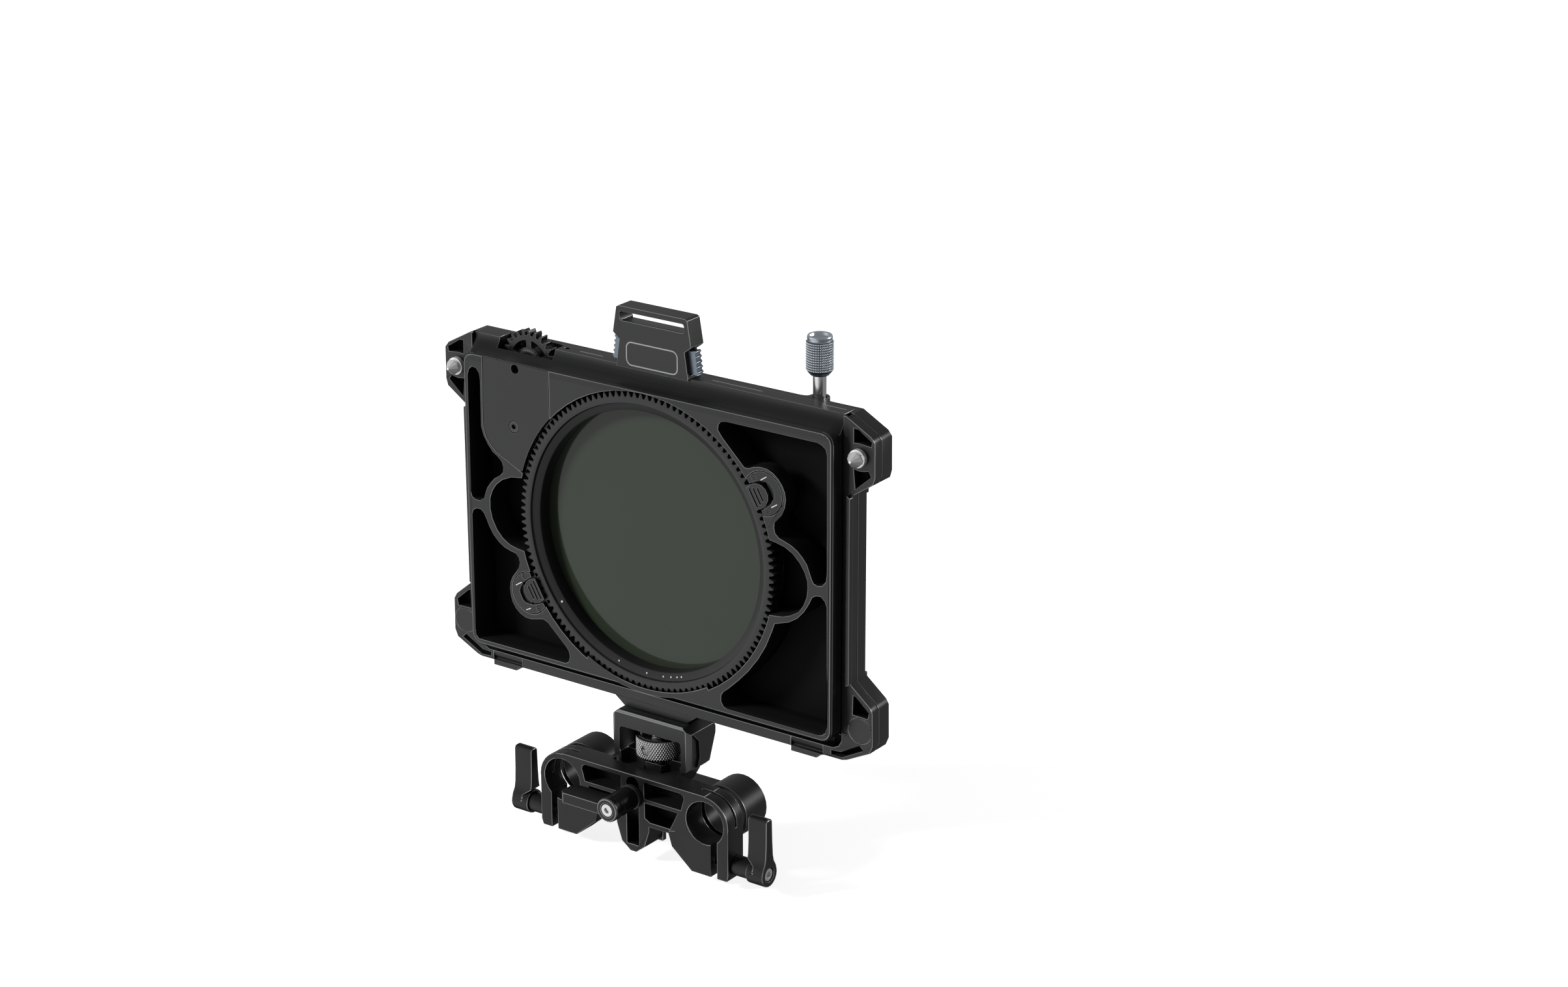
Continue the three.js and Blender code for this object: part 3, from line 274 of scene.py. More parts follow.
def metal(name, col, rough, metallic=1.0, spec=0.5, grain=0.05, grain_scale=9000, var=0.06, edge=None, coat=0.0, pit=0.0):
    """fine blasted or brushed metal: grain in the bump, slow changes of tone and roughness, lighter worn edges"""
    m, nt, b = new_mat(name)
    coord = nt.nodes.new("ShaderNodeTexCoord").outputs["Object"]
    slow = noise_node(nt, 60, 3, 0.6, coord)
    fine = noise_node(nt, grain_scale, 2, 0.6, coord)
    lo = [max(0, c * (1 - var)) for c in col]
    hi = [min(1, c * (1 + var)) for c in col]
    base = ramp(nt, slow.outputs[0], [(0.3, lo), (0.7, hi)])
    colour = base.outputs[0]
    if edge is not None:
        geo = nt.nodes.new("ShaderNodeNewGeometry")
        pt = maprange(nt, geo.outputs["Pointiness"], 0.52, 0.60, 0.0, 1.0)
        mix = nt.nodes.new("ShaderNodeMix")
        mix.data_type = "RGBA"
        nt.links.new(pt.outputs[0], mix.inputs["Factor"])
        nt.links.new(colour, mix.inputs["A"])
        mix.inputs["B"].default_value = (*edge, 1)
        colour = mix.outputs["Result"]
    nt.links.new(colour, b.inputs["Base Color"])
    rr = maprange(nt, slow.outputs[0], 0.3, 0.7, rough * 0.93, rough * 1.07)
    nt.links.new(rr.outputs[0], b.inputs["Roughness"])
    b.inputs["Metallic"].default_value = metallic
    b.inputs["Specular IOR Level"].default_value = spec
    if coat:
        b.inputs["Coat Weight"].default_value = coat
    if grain:
        bp = nt.nodes.new("ShaderNodeBump")
        bp.inputs["Strength"].default_value = grain
        bp.inputs["Distance"].default_value = 0.00003
        nt.links.new(fine.outputs[0], bp.inputs["Height"])
        nt.links.new(bp.outputs[0], b.inputs["Normal"])
    return m


def knurled(name, cx, cy, r_in, r_low, r_high, high, low, rough):
    """crests painted light as a highlight and grooves painted dark as shade, told apart by the distance from the
    turning axis; plain metal inside r_in
    """
    m, nt, b = new_mat(name)
    c, x, y, z = mm_coord(nt)
    dx, dy = op(nt, "SUBTRACT", x, cx), op(nt, "SUBTRACT", y, cy)
    r = op(nt, "SQRT", op(nt, "ADD", op(nt, "MULTIPLY", dx, dx), op(nt, "MULTIPLY", dy, dy)))
    crest = op(nt, "MAXIMUM", step(nt, r, r_low, r_high), step(nt, r, r_in - 0.1, r_in, 1.0, 0.0))
    mix = nt.nodes.new("ShaderNodeMix")
    mix.data_type = "RGBA"
    nt.links.new(crest, mix.inputs["Factor"])
    # painted shade in the grooves, painted highlight on the crests
    mix.inputs["A"].default_value = (*low, 1)
    mix.inputs["B"].default_value = (*high, 1)
    nt.links.new(mix.outputs["Result"], b.inputs["Base Color"])
    slow = noise_node(nt, 60, 3, 0.6, c)
    nt.links.new(maprange(nt, slow.outputs[0], 0.3, 0.7, rough * 0.9, rough * 1.1).outputs[0], b.inputs["Roughness"])
    b.inputs["Metallic"].default_value = 1.0
    return m


def mm_coord(nt):
    """object coordinates in millimetres, Z from the filter axis"""
    c = nt.nodes.new("ShaderNodeTexCoord").outputs["Object"]
    sep = nt.nodes.new("ShaderNodeSeparateXYZ")
    nt.links.new(c, sep.inputs[0])

    def lin(v, k, o):
        n = nt.nodes.new("ShaderNodeMath")
        n.operation = "MULTIPLY_ADD"
        n.inputs[1].default_value, n.inputs[2].default_value = k, o
        nt.links.new(v, n.inputs[0])
        return n.outputs[0]
    return c, lin(sep.outputs[0], 1000, 0), lin(sep.outputs[1], 1000, 0), lin(sep.outputs[2], 1000, -RING_Z)


def op(nt, kind, a, b=None):
    n = nt.nodes.new("ShaderNodeMath")
    n.operation = kind
    for i, v in enumerate((a, b)):
        if v is None:
            continue
        if isinstance(v, (int, float)):
            n.inputs[i].default_value = v
        else:
            nt.links.new(v, n.inputs[i])
    return n.outputs[0]


def step(nt, v, a, b, lo=0.0, hi=1.0):
    m = nt.nodes.new("ShaderNodeMapRange")
    m.interpolation_type = "SMOOTHSTEP"
    m.inputs[1].default_value, m.inputs[2].default_value = a, b
    m.inputs[3].default_value, m.inputs[4].default_value = lo, hi
    nt.links.new(v, m.inputs[0])
    return m.outputs[0]


def anodised(name, base=0.012, rough=0.36, spec=0.5, grain=0.25, scale=7000, recess=None, highlight_ways=None):
    """black anodised metal: fine blasted grain, slow changes of tone; recess(nt, x, y, z) gives how deep a point lies,
    0 to 1, and the deeper places are painted darker, with a weaker specular, as painted shade"""
    m, nt, b = new_mat(name)
    c, x, y, z = mm_coord(nt)
    slow = noise_node(nt, 45, 4, 0.6, c)
    fine = noise_node(nt, scale, 2, 0.6, c)
    col = ramp(nt, slow.outputs[0], [(0.3, (base * 0.9, base * 0.905, base * 0.92)), (0.7, (base * 1.1, base * 1.11, base * 1.14))]).outputs[0]
    rr = maprange(nt, slow.outputs[0], 0.3, 0.7, rough * 0.94, rough * 1.06).outputs[0]
    # painted shade: deep points get a darker colour, a weaker specular and a rougher finish
    if recess:
        d = recess(nt, x, y, z)
        keep = op(nt, "SUBTRACT", 1.0, d)
        mix = nt.nodes.new("ShaderNodeMix")
        mix.data_type = "RGBA"
        nt.links.new(d, mix.inputs["Factor"])
        nt.links.new(col, mix.inputs["A"])
        # colour of the painted shade in the recesses
        mix.inputs["B"].default_value = (base * 0.45, base * 0.45, base * 0.46, 1)
        col = mix.outputs["Result"]
        nt.links.new(op(nt, "MULTIPLY", keep, spec), b.inputs["Specular IOR Level"])
        rr = op(nt, "ADD", rr, op(nt, "MULTIPLY", d, 0.25))
    else:
        b.inputs["Specular IOR Level"].default_value = spec
    if highlight_ways:
        # painted highlight: chamfers facing the listed directions, picked by their direction on the piece, get a
        # lighter colour than the blasted faces
        tc = nt.nodes.new("ShaderNodeTexCoord")
        f = None
        for way in highlight_ways:
            dot = nt.nodes.new("ShaderNodeVectorMath")
            dot.operation = "DOT_PRODUCT"
            nt.links.new(tc.outputs["Normal"], dot.inputs[0])
            dot.inputs[1].default_value = Vector(way).normalized()
            g = maprange(nt, dot.outputs["Value"], 0.97, 0.995, 0.0, 1.0).outputs[0]
            f = g if f is None else op(nt, "MAXIMUM", f, g)
        mix = nt.nodes.new("ShaderNodeMix")
        mix.data_type = "RGBA"
        nt.links.new(f, mix.inputs["Factor"])
        nt.links.new(col, mix.inputs["A"])
        mix.inputs["B"].default_value = (0.19, 0.192, 0.196, 1)
        col = mix.outputs["Result"]
    nt.links.new(col, b.inputs["Base Color"])
    nt.links.new(rr, b.inputs["Roughness"])
    bp = nt.nodes.new("ShaderNodeBump")
    bp.inputs["Strength"].default_value = grain
    bp.inputs["Distance"].default_value = 0.00003
    nt.links.new(fine.outputs[0], bp.inputs["Height"])
    nt.links.new(bp.outputs[0], b.inputs["Normal"])
    return m


# painted shade for the tray: darker deeper in the pockets and towards the back of the sides, none on the top
def tray_recess_shade(nt, x, y, z):
    deep = op(nt, "ADD", step(nt, y, -0.3, 2.6, 0.0, 0.62), step(nt, y, 6.0, 9.0, 0.0, 0.30))
    inside = op(nt, "MULTIPLY", step(nt, op(nt, "ABSOLUTE", x), 74.0, 74.3, 1.0, 0.0), step(nt, z, 50.4, 50.6, 1.0, 0.0))
    side = op(nt, "MULTIPLY", op(nt, "SUBTRACT", 1.0, inside), step(nt, y, -0.2, 5.0, 0.10, 0.30))
    return op(nt, "MULTIPLY", op(nt, "ADD", op(nt, "MULTIPLY", deep, inside), side), step(nt, z, 55.5, 57.9, 1.0, 0.0))


# painted shade for the front frame: inside the holes of the ears and in the side slot
def ear_recess_shade(nt, x, y, z):
    ax = op(nt, "ABSOLUTE", x)
    inx = op(nt, "MULTIPLY", step(nt, ax, 79.15, 79.25), step(nt, ax, 86.15, 86.3, 1.0, 0.0))
    inz = op(nt, "MULTIPLY", step(nt, z, -55.0, -54.8), step(nt, z, 54.6, 54.7, 1.0, 0.0))
    slot = op(nt, "MULTIPLY", op(nt, "MULTIPLY", step(nt, ax, 74.9, 75.2), step(nt, ax, 77.3, 77.5, 1.0, 0.0)), op(nt, "MULTIPLY", step(nt, y, 4.8, 5.0, 0.0, 0.4), step(nt, z, -53.0, -52.0)))
    top = op(nt, "ADD", op(nt, "MULTIPLY", ax, 0.481), op(nt, "MULTIPLY", z, 0.877))
    low = op(nt, "ADD", op(nt, "MULTIPLY", ax, 0.636), op(nt, "MULTIPLY", z, 0.7716))
    skin = op(nt, "MULTIPLY", step(nt, top, 86.9, 87.2, 1.0, 0.0), op(nt, "MAXIMUM", step(nt, z, 0.0, 1.0), step(nt, low, 24.4, 24.7, 1.0, 0.0)))
    return op(nt, "ADD", slot, op(nt, "MULTIPLY", op(nt, "MULTIPLY", op(nt, "MULTIPLY", inx, inz), skin), step(nt, y, 5.1, 6.5, 0.0, 0.92)))


# painted shade for the rear frame: darker in front of y 8.7 within the span of the ears
def ear_floor_shade(nt, x, y, z):
    ax = op(nt, "ABSOLUTE", x)
    inx = op(nt, "MULTIPLY", step(nt, ax, 70.0, 70.2), step(nt, ax, 86.9, 87.1, 1.0, 0.0))
    return op(nt, "MULTIPLY", inx, step(nt, y, 8.7, 9.0, 0.92, 0.0))


# painted shade inside the ring's lip, behind its front
def ring_recess_shade(nt, x, y, z):
    r = op(nt, "SQRT", op(nt, "ADD", op(nt, "MULTIPLY", x, x), op(nt, "MULTIPLY", z, z)))
    return op(nt, "MULTIPLY", step(nt, r, 45.6, 46.2, 1.0, 0.0), step(nt, y, 1.9, 3.5, 0.0, 0.22))


# painted shade for the clamp, darker towards the back
def clamp_recess_shade(nt, x, y, z):
    return step(nt, y, -8.2, -3.0, 0.0, 0.55)


BLACK = anodised("black_anodised")
# the bracket's chamfers facing front right and front top get a painted highlight
BRACKET = anodised("black_anodised_bracket_highlit", highlight_ways=((0.7, -0.7, 0.0), (0.0, -0.7, 0.7)))
TRAY = anodised("black_anodised_tray_shaded", recess=tray_recess_shade)
FRONT = anodised("black_anodised_frame_shaded", recess=ear_recess_shade)
REAR = anodised("black_anodised_rear_shaded", recess=ear_floor_shade)
# the ring's material carries painted shade inside its lip
RING = anodised("filter_black", base=0.013, rough=0.33, recess=ring_recess_shade)
CLAMP = anodised("black_anodised_clamp", base=0.008, spec=0.34)
GEAR = anodised("gear_black", base=0.010, rough=0.28, grain=0.1, scale=5000)
LINE = metal("bright_edge", (0.30, 0.304, 0.308), 0.32, metallic=1.0, grain=0.1)
BLUE = metal("blue_anodised", (0.20, 0.235, 0.27), 0.33, metallic=0.9, grain=0.15, grain_scale=7000)
BLUELINE = metal("blue_edge", (0.42, 0.47, 0.52), 0.3, metallic=1.0, grain=0.1)
STEEL = metal("bright_steel", (0.74, 0.74, 0.75), 0.2, metallic=1.0, grain=0.08, grain_scale=6000)
DARK = metal("dark_steel", (0.055, 0.055, 0.057), 0.35, metallic=0.6, grain=0.1, grain_scale=6000)
WIRE = metal("spring_steel", (0.5, 0.5, 0.5), 0.3, metallic=1.0, grain=0.05)
GLASS, gnt, gb = new_mat("filter_glass")
gs = noise_node(gnt, 25, 2, 0.5)
gr = ramp(gnt, gs.outputs[0], [(0.3, (0.0225, 0.0300, 0.0195)), (0.7, (0.0240, 0.0315, 0.0205))])
gnt.links.new(gr.outputs[0], gb.inputs["Base Color"])
gb.inputs["Roughness"].default_value = 0.10
gb.inputs["Specular IOR Level"].default_value = 0.38
PIN = metal("pin_steel", (0.88, 0.88, 0.89), 0.24, metallic=0.6, grain=0.05, grain_scale=6000)
KNURL = knurled("knurled_steel_painted_light", 0.0, 6.2, 7.0, 7.34, 7.52, (0.92, 0.92, 0.93), (0.05, 0.05, 0.052), 0.24)
KNOBBLUE = knurled("knurled_blue_painted_light", 58.26, 16.5, 4.14, 4.24, 4.42, (0.80, 0.87, 0.94), (0.06, 0.085, 0.11), 0.26)
GEARLINE = metal("gear_hub", (0.10, 0.10, 0.10), 0.28, metallic=0.8, grain=0.05)
WHITE = metal("white_mark", (0.75, 0.75, 0.75), 0.6, metallic=0.0, grain=0.2, grain_scale=12000, var=0.04)
MARK = metal("light_mark", (0.30, 0.30, 0.30), 0.6, metallic=0.0, grain=0.2, grain_scale=12000, var=0.06)
TOPLINES = ((-32.4, -22.8, 9.0), (21.3, 41.0, 9.4), (64.1, 73.2, 9.7))
BY_SLOT = {"black_anodised": BLACK, "filter_black": RING, "gear_black": GEAR, "blue_anodised": BLUE, "bright_steel": STEEL, "dark_steel": DARK, "spring_steel": WIRE, "filter_glass": GLASS}
BY_NODE = {"tray_body": TRAY, "height_bracket": BRACKET, "frame_front": FRONT, "frame_rear": REAR, "clamp_body": CLAMP, "lever_right": CLAMP, "lever_left": CLAMP, "lever_centre": CLAMP}
EDGE_OF = {BLUE: BLUELINE, STEEL: STEEL, PIN: PIN, KNURL: KNURL, WIRE: WIRE, GLASS: GLASS, DARK: LINE}
slot_of = {s["node"]: s["material_slot"] for s in frame["record"]["subparts"]}


def paint(o, mat):
    o.data.materials.clear()
    o.data.materials.append(mat)
    o.data.materials.append(EDGE_OF.get(mat, LINE))


def smooth_group(angle):
    """shades by angle: edges sharper than the limit stay crisp"""
    g = bpy.data.node_groups.new("shade_by_angle_%d" % round(angle), "GeometryNodeTree")
    g.is_modifier = True
    g.interface.new_socket("Geometry", in_out="INPUT", socket_type="NodeSocketGeometry")
    g.interface.new_socket("Geometry", in_out="OUTPUT", socket_type="NodeSocketGeometry")
    i, o = g.nodes.new("NodeGroupInput"), g.nodes.new("NodeGroupOutput")
    f = g.nodes.new("GeometryNodeSetShadeSmooth")
    f.domain = "FACE"
    e = g.nodes.new("GeometryNodeSetShadeSmooth")
    e.domain = "EDGE"
    e.inputs["Shade Smooth"].default_value = False
    ang = g.nodes.new("GeometryNodeInputMeshEdgeAngle")
    cmp = g.nodes.new("FunctionNodeCompare")
    cmp.data_type, cmp.operation = "FLOAT", "GREATER_THAN"
    cmp.inputs["B"].default_value = math.radians(angle)
    g.links.new(ang.outputs["Unsigned Angle"], cmp.inputs["A"])
    g.links.new(i.outputs[0], f.inputs["Geometry"])
    g.links.new(f.outputs[0], e.inputs["Geometry"])
    g.links.new(cmp.outputs["Result"], e.inputs["Selection"])
    g.links.new(e.outputs[0], o.inputs[0])
    return g


def convex_group(angle):
    """marks the edges that stand out, not the inner corners, for the bevel"""
    g = bpy.data.node_groups.new("convex_edges", "GeometryNodeTree")
    g.is_modifier = True
    g.interface.new_socket("Geometry", in_out="INPUT", socket_type="NodeSocketGeometry")
    g.interface.new_socket("Geometry", in_out="OUTPUT", socket_type="NodeSocketGeometry")
    i, o = g.nodes.new("NodeGroupInput"), g.nodes.new("NodeGroupOutput")
    ang = g.nodes.new("GeometryNodeInputMeshEdgeAngle")
    cmp = g.nodes.new("FunctionNodeCompare")
    cmp.data_type, cmp.operation = "FLOAT", "GREATER_THAN"
    cmp.inputs["B"].default_value = math.radians(angle)
    g.links.new(ang.outputs["Signed Angle"], cmp.inputs["A"])
    st = g.nodes.new("GeometryNodeStoreNamedAttribute")
    st.data_type, st.domain = "FLOAT", "EDGE"
    st.inputs["Name"].default_value = "bevel_weight_edge"
    g.links.new(cmp.outputs["Result"], st.inputs["Value"])
    g.links.new(i.outputs[0], st.inputs["Geometry"])
    g.links.new(st.outputs[0], o.inputs[0])
    return g


BY_ANGLE = smooth_group(41)
CONVEX = convex_group(41)


def finish_edges(o, width, segments=2, clamp=True):
    """welds the imported triangles, rounds the edges and shades by angle, without touching the mesh itself"""
    w = o.modifiers.new("weld", "WELD")
    w.merge_threshold = 2e-6
    if clamp:
        d = o.modifiers.new("planar", "DECIMATE")
        d.decimate_type = "DISSOLVE"
        d.angle_limit = math.radians(0.8)
    if width:
        cv = o.modifiers.new("convex", "NODES")
        cv.node_group = CONVEX
        bv = o.modifiers.new("edge", "BEVEL")
        bv.limit_method = "WEIGHT"
        bv.width = width * MM
        bv.segments = segments
        bv.use_clamp_overlap = clamp
        bv.harden_normals = False
        bv.material = 1
    sm = o.modifiers.new("shade", "NODES")
    sm.node_group = BY_ANGLE
    if width:
        wn = o.modifiers.new("normals", "WEIGHTED_NORMAL")
        wn.keep_sharp = True
        wn.weight = 100


EDGE = {"tray_body": 0.17, "frame_front": 0.19, "frame_rear": 0.2, "gear_cover": 0.1, "height_bracket": 0.24, "clamp_body": 0.22, "clamp_collar": 0.35,
        "latch_plate_right": 0.12, "latch_plate_left": 0.12, "latch_button_right": 0.1, "latch_button_left": 0.1, "release_button_right": 0.1, "release_button_left": 0.1,
        "lever_right": 0.25, "lever_left": 0.25, "lever_centre": 0.25, "ear_cap_right": 0.05, "ear_cap_left": 0.05, "filter_front_glass": 0, "filter_rear_glass": 0,
        "release_spring_right": 0, "release_spring_left": 0}
NO_CLAMP = ("tray_body", "frame_front", "frame_rear", "clamp_body", "height_bracket", "lever_right", "lever_left", "lever_centre")
for name, o in nodes.items():
    paint(o, BY_NODE.get(name) or BY_SLOT[slot_of[name]])
    finish_edges(o, EDGE.get(name, 0.1), clamp=name not in NO_CLAMP)


# ------------------------------------------------------------------ detailed pieces
def put(o, body, mat, node=None, edge=0.0):
    paint(o, mat)
    if edge:
        finish_edges(o, edge)
    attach(o, body)
    if node:
        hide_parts(node)
    return o


def tri(q):
    return 1.0 - abs(2.0 * (q - math.floor(q)) - 1.0)


def cut(o, cutter):
    """subtracts cutter from o for good"""
    b = o.modifiers.new("cut", "BOOLEAN")
    b.operation, b.solver, b.object = "DIFFERENCE", "EXACT", cutter
    ev = o.evaluated_get(bpy.context.evaluated_depsgraph_get())
    me = bpy.data.meshes.new_from_object(ev)
    o.modifiers.clear()
    old = o.data
    o.data = me
    bpy.data.meshes.remove(old)
    d = cutter.data
    bpy.data.objects.remove(cutter)
    bpy.data.meshes.remove(d)
    return o


# turning ring with involute teeth, stepped bezel and spigot
ring = gear_band("ring_gear", gear_outline(128, 2.2, 52.0, 50.2, flank=4), 0.0, 5.4, [
    (49.5, 5.4), (48.12, 5.4), (48.0, 5.52), (48.0, 8.36), (47.86, 8.5), (46.44, 8.5), (46.3, 8.36), (46.3, 6.4), (45.42, 6.4), (45.28, 6.3), (45.25, 6.1),
    (45.25, 2.0), (45.28, 1.84), (45.42, 1.70), (47.70, 1.0), (47.86, 0.88), (47.93, 0.7), (48.0, 0.22), (48.05, 0.08), (48.2, 0.0), (49.4, 0.0)], b=0.10)
put(ring, "filter_ring", RING, "filter_gear_ring")

# knurled thumb wheel: two sets of crossing grooves, dished top, hexagonal tommy hole
WY = 6.2


def diamond(a, h, r):
    if r < 7.55:
        return 0.0
    u, v = a * 50 / (2 * math.pi) + h / 1.5, a * 50 / (2 * math.pi) - h / 1.5
    return -0.24 + 0.26 * min(1.0, 1.25 * min(tri(u), tri(v)))


prof = [(3.1, -77.7), (6.8, -77.7), (6.95, -77.66), (7.4, -77.15)]
prof += [(7.6, -77.0 + 6.4 * i / 44) for i in range(45)]
prof += [(7.4, -70.45), (6.95, -69.94), (6.8, -69.9), (6.2, -69.9), (6.05, -69.98), (5.7, -70.7), (5.5, -70.8), (3.1, -70.8)]
wheel = lathe("thumb_wheel_knurled", prof, 0, 0, 400, "Z", WY, bump=diamond, sharp=50)
hexa = prism("hex_cut", [(2.0 * math.cos(math.radians(a)), -73.8 + 2.0 * math.sin(math.radians(a))) for a in range(0, 360, 60)], -3.0, 2.4, 0)
cut(wheel, hexa)
put(wheel, "thumb_wheel", KNURL, "thumb_wheel")

# clamp knob: square beads, rim and dished top
KX, KY = 58.26, 16.5


def beads(a, h, r):
    if r < 4.46:
        return 0.0
    return -0.26 + 0.26 * min(1.0, 1.9 * tri(a * 38 / (2 * math.pi)), 1.9 * tri((h - 66.8) / 0.8))


prof = [(2.55, 65.1), (2.9, 65.1), (3.1, 65.2), (3.7, 65.95), (4.05, 66.4), (4.2, 66.7)]
prof += [(4.47, 66.8 + 9.6 * i / 107) for i in range(108)]
prof += [(4.2, 76.5), (4.0, 76.6), (3.9, 76.78), (3.98, 76.95), (4.08, 77.2), (4.1, 77.7), (4.02, 78.1), (3.84, 78.33), (3.6, 78.4), (3.38, 78.33), (3.2, 78.1), (3.05, 77.3), (2.85, 77.08), (1.6, 77.0), (0.6, 76.98), (0.02, 76.97), (0.02, 70.3), (2.55, 70.3)]
knob = lathe("knurled_knob", prof, KX, 0, 304, "Z", KY, bump=beads, sharp=50)
put(knob, "clamp_knob", KNOBBLUE, "clamp_knob")

# cone pins of the upper ears: ten flats on the point, a turned neck and flange
for side, sx in (("right", 1), ("left", -1)):
    point = lathe("pin_point", [(0.01, -0.92), (0.42, -0.92), (0.56, -0.8), (2.62, 1.54), (2.62, 1.7), (2.0, 2.2), (0.01, 2.2)], sx * 81.6, 45.4, 10, "Y", sharp=20)
    shank = lathe("pin_shank", [(0.01, 2.0), (2.1, 2.0), (2.1, 2.7), (2.8, 2.7), (2.98, 2.78), (3.05, 2.95), (3.05, 4.3), (2.9, 4.45), (1.5, 4.45), (1.5, 13.8), (1.3, 13.95), (0.01, 13.95)], sx * 81.6, 45.4, 72, "Y")
    put(join("cone_pin_turned_" + side, [point, shank]), "frame", PIN, "cone_pin_" + side)

# release springs: round wire, closed end coils
for side, sx in (("right", 1), ("left", -1)):
    rings = []
    for i in range(121):
        t = i / 24
        h = 0.56 * t if t < 0.8 else (0.448 + (t - 0.8) * 6.104 / 3.4 if t < 4.2 else 7.0 - 0.56 * (5.0 - t))
        a = 2 * math.pi * t
        rings.append([(sx * (2.0 + h + 0.28 * math.sin(2 * math.pi * j / 10)), 8.65 + (1.3 + 0.28 * math.cos(2 * math.pi * j / 10)) * math.cos(a),
                       63.15 + (1.3 + 0.28 * math.cos(2 * math.pi * j / 10)) * math.sin(a)) for j in range(10)])
    v, f = grid_solid(rings, True, False)
    wire = obj_from("release_coil_" + side, v, f + [tuple(range(10)), tuple(range(1200, 1210))], RING_Z, True, 40)
    put(wire, "tray", WIRE, "release_spring_" + side)
    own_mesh(wire)

# stepped hub of the spoked gear
prof = [(1.9, 6.9), (1.9, 6.52), (2.0, 6.4), (2.6, 6.4), (2.75, 6.52), (2.85, 6.7), (3.35, 6.7), (3.45, 6.55), (3.55, 6.42), (4.45, 6.42), (4.6, 6.5), (4.93, 6.75), (4.93, 6.9)]
put(lathe("drive_gear_hub", prof, -52.5, 51.04, 72, "Y"), "drive_gear", GEARLINE)

# threaded spindle of the thumb wheel
def thread(a, h, r):
    return 0.0 if r < 2.69 or h < 11.0 or h > 23.4 else -0.30 + 0.30 * tri(h / 0.8 - a / (2 * math.pi))


prof = [(0.02, 4.5), (1.9, 4.5), (2.0, 4.6), (2.0, 10.6), (2.7, 10.9)]
prof += [(2.7, 11.0 + 12.5 * i / 124) for i in range(125)]
prof += [(2.5, 23.8), (2.2, 24.1), (0.02, 24.1)]
put(lathe("height_screw_threaded", prof, 0, 0, 48, "Z", WY, dz=0, bump=thread), "rod_clamp", STEEL, "height_screw")

# white and light grey marks that carry no lettering
for k, deg in enumerate((218.7, 254.6, 269.1, 277.6, 281.6, 284.8, 287.1)):
    a = math.radians(deg)
    big = 0.36 if k == 0 else 0.26
    put(lathe("ring_dot_%d" % (k + 1), [(0.01, 1.18), (big, 1.18), (big, 1.5), (0.01, 1.5)], 46.55 * math.cos(a), 46.55 * math.sin(a), 20, "Y"), "filter_ring", WHITE)


def stroke(name, p, q, w, y0, y1, body, mat):
    d = (Vector(q) - Vector(p)).normalized()
    nrm = Vector((-d.y, d.x)) * (w / 2)
    pts = [tuple(Vector(p) + nrm), tuple(Vector(p) - nrm), tuple(Vector(q) - nrm), tuple(Vector(q) + nrm)]
    return put(prism(name, pts, y0, y1, 0), body, mat)


for k, (p, q) in enumerate((((47.5, 32.45), (49.8, 34.0)), ((51.7, 24.05), (53.9, 25.45)), ((-54.6, -26.6), (-52.0, -25.0)), ((-50.3, -34.7), (-48.3, -33.65)))):
    stroke("latch_mark_%d" % (k + 1), p, q, 0.26, -0.83, -0.7, "tray", WHITE)


def frame_line(name, x0, x1, z0, z1, r, w, y0, y1, body, mat, n=8):
    def rr(x0, x1, z0, z1, r):
        out = []
        for cx, cz, a0 in ((x1 - r, z1 - r, 0), (x0 + r, z1 - r, 90), (x0 + r, z0 + r, 180), (x1 - r, z0 + r, 270)):
            out += [(cx + r * math.cos(math.radians(a0 + 90 * i / n)), cz + r * math.sin(math.radians(a0 + 90 * i / n))) for i in range(n + 1)]
        return out
    o, i = rr(x0, x1, z0, z1, r), rr(x0 + w, x1 - w, z0 + w, z1 - w, max(0.1, r - w))
    v, f = grid_solid([[(x, y0, z) for x, z in o], [(x, y1, z) for x, z in o], [(x, y1, z) for x, z in i], [(x, y0, z) for x, z in i]])
    return put(obj_from(name, v, f, sharp=20), body, mat)


frame_line("handle_outline", -10.5, 10.5, 58.5, 66.7, 2.3, 0.42, 5.36, 5.5, "tray", MARK)


def prism_z(name, pts, z0, z1):
    v = [(x, y, z0) for x, y in pts] + [(x, y, z1) for x, y in pts]
    n = len(pts)
    f = [tuple(range(n)), tuple(range(2 * n - 1, n - 1, -1))] + [(i, (i + 1) % n, n + (i + 1) % n, n + i) for i in range(n)]
    return obj_from(name, v, f)


def top_line(name, x0, x1, y, w=0.28):
    return put(prism_z(name, [(x0, y - w / 2), (x1, y - w / 2), (x1, y + w / 2), (x0, y + w / 2)], 58.0, 58.13), "tray", MARK)


for k, (x0, x1, y) in enumerate(TOPLINES):
    top_line("top_mark_%d" % (k + 1), x0, x1, y)


# ------------------------------------------------------------------ stage, lights, camera
FLOOR_Z = -0.0225
fl = bpy.data.meshes.new("floor")
fl.from_pydata([(-6, -6, FLOOR_Z), (6, -6, FLOOR_Z), (6, 6, FLOOR_Z), (-6, 6, FLOOR_Z)], [], [(0, 1, 2, 3)])
floor = bpy.data.objects.new("floor", fl)
bpy.context.collection.objects.link(floor)
fm, fnt, fb = new_mat("floor_paper")
fn = noise_node(fnt, 3, 2, 0.5)
fr = ramp(fnt, fn.outputs[0], [(0.3, (0.78, 0.78, 0.78)), (0.7, (0.8, 0.8, 0.8))])
fnt.links.new(fr.outputs[0], fb.inputs["Base Color"])
fb.inputs["Roughness"].default_value = 0.9
fb.inputs["Specular IOR Level"].default_value = 0.0
fb.inputs["Emission Color"].default_value = (1, 1, 1, 1)
fb.inputs["Emission Strength"].default_value = 0.72
paint(floor, fm)
floor.visible_glossy = False
floor.visible_diffuse = False

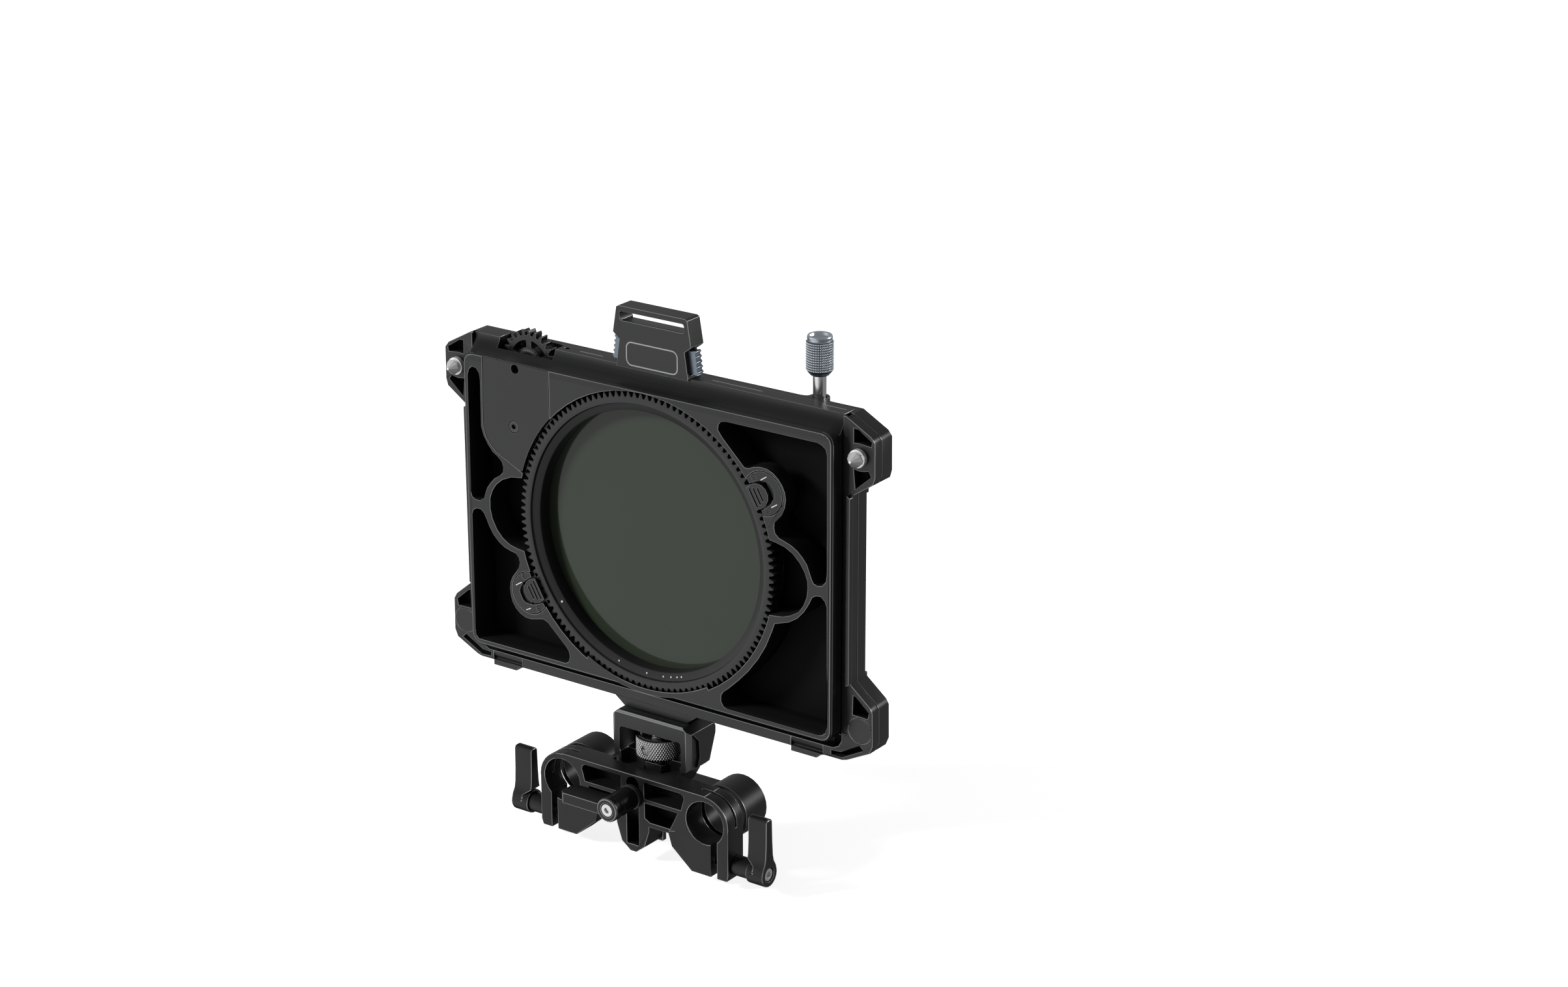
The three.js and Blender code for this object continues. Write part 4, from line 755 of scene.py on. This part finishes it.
# the studio: white backdrop, soft light that is strongest from the front left and weaker overhead
world = bpy.data.worlds.new("studio")
bpy.context.scene.world = world
world.use_nodes = True
wnt = world.node_tree
wnt.nodes.clear()
wout = wnt.nodes.new("ShaderNodeOutputWorld")
wtc = wnt.nodes.new("ShaderNodeTexCoord")


def wdot(v, a, b, c, d):
    n = wnt.nodes.new("ShaderNodeVectorMath")
    n.operation = "DOT_PRODUCT"
    wnt.links.new(wtc.outputs["Generated"], n.inputs[0])
    n.inputs[1].default_value = Vector(v).normalized()
    m = wnt.nodes.new("ShaderNodeMapRange")
    m.interpolation_type = "SMOOTHSTEP"
    m.inputs[1].default_value, m.inputs[2].default_value = a, b
    m.inputs[3].default_value, m.inputs[4].default_value = c, d
    wnt.links.new(n.outputs["Value"], m.inputs[0])
    return m.outputs[0]


def wadd(*vals):
    r = vals[0]
    for v in vals[1:]:
        n = wnt.nodes.new("ShaderNodeMath")
        n.operation = "ADD"
        wnt.links.new(r, n.inputs[0])
        wnt.links.new(v, n.inputs[1])
        r = n.outputs[0]
    return r


level = wadd(
    wdot((0, 0, 1), -0.45, 0.35, 0.32, 0.26),
    wdot((0, 0, -1), 0.5, 0.8, 0.0, -0.27),
    wdot((-0.54, -0.77, -0.34), 0.45, 0.97, 0.0, 0.95),
    wdot((-0.54, 0.77, 0.34), 0.6, 0.98, 0.0, 0.12),
)
wbg = wnt.nodes.new("ShaderNodeBackground")
wnt.links.new(level, wbg.inputs["Strength"])
wwhite = wnt.nodes.new("ShaderNodeBackground")
wwhite.inputs["Strength"].default_value = 1.0
wmix = wnt.nodes.new("ShaderNodeMixShader")
wlp = wnt.nodes.new("ShaderNodeLightPath")
wnt.links.new(wlp.outputs["Is Camera Ray"], wmix.inputs[0])
wnt.links.new(wbg.outputs[0], wmix.inputs[1])
wnt.links.new(wwhite.outputs[0], wmix.inputs[2])
wnt.links.new(wmix.outputs[0], wout.inputs[0])


def area(name, loc, target, size, power, size_y=None, spread=180):
    l = bpy.data.lights.new(name, "AREA")
    l.shape = "RECTANGLE"
    l.size, l.size_y = size, size_y or size
    l.energy = power
    l.spread = math.radians(spread)
    o = bpy.data.objects.new(name, l)
    bpy.context.collection.objects.link(o)
    o.location = loc
    o.rotation_euler = (Vector(target) - Vector(loc)).to_track_quat("-Z", "Y").to_euler()
    return o


CENTRE = (0, 0, 0.09)
area("key", (-1.05, -1.05, 0.85), CENTRE, 0.40, 30).visible_glossy = False
area("rim", (1.1, 0.9, 0.5), CENTRE, 0.5, 7)

cam_data = bpy.data.cameras.new("camera")
cam_data.lens = 78.56
cam_data.sensor_width = 36.0
cam_data.clip_start, cam_data.clip_end = 0.05, 50
cam = bpy.data.objects.new("camera", cam_data)
bpy.context.collection.objects.link(cam)
cam.location = (0.64054, -0.83212, 0.49115)
cam.rotation_euler = (math.radians(90 - 20.097), 0, math.radians(35.086))
bpy.context.scene.camera = cam
bpy.context.scene.view_settings.view_transform = "Standard"
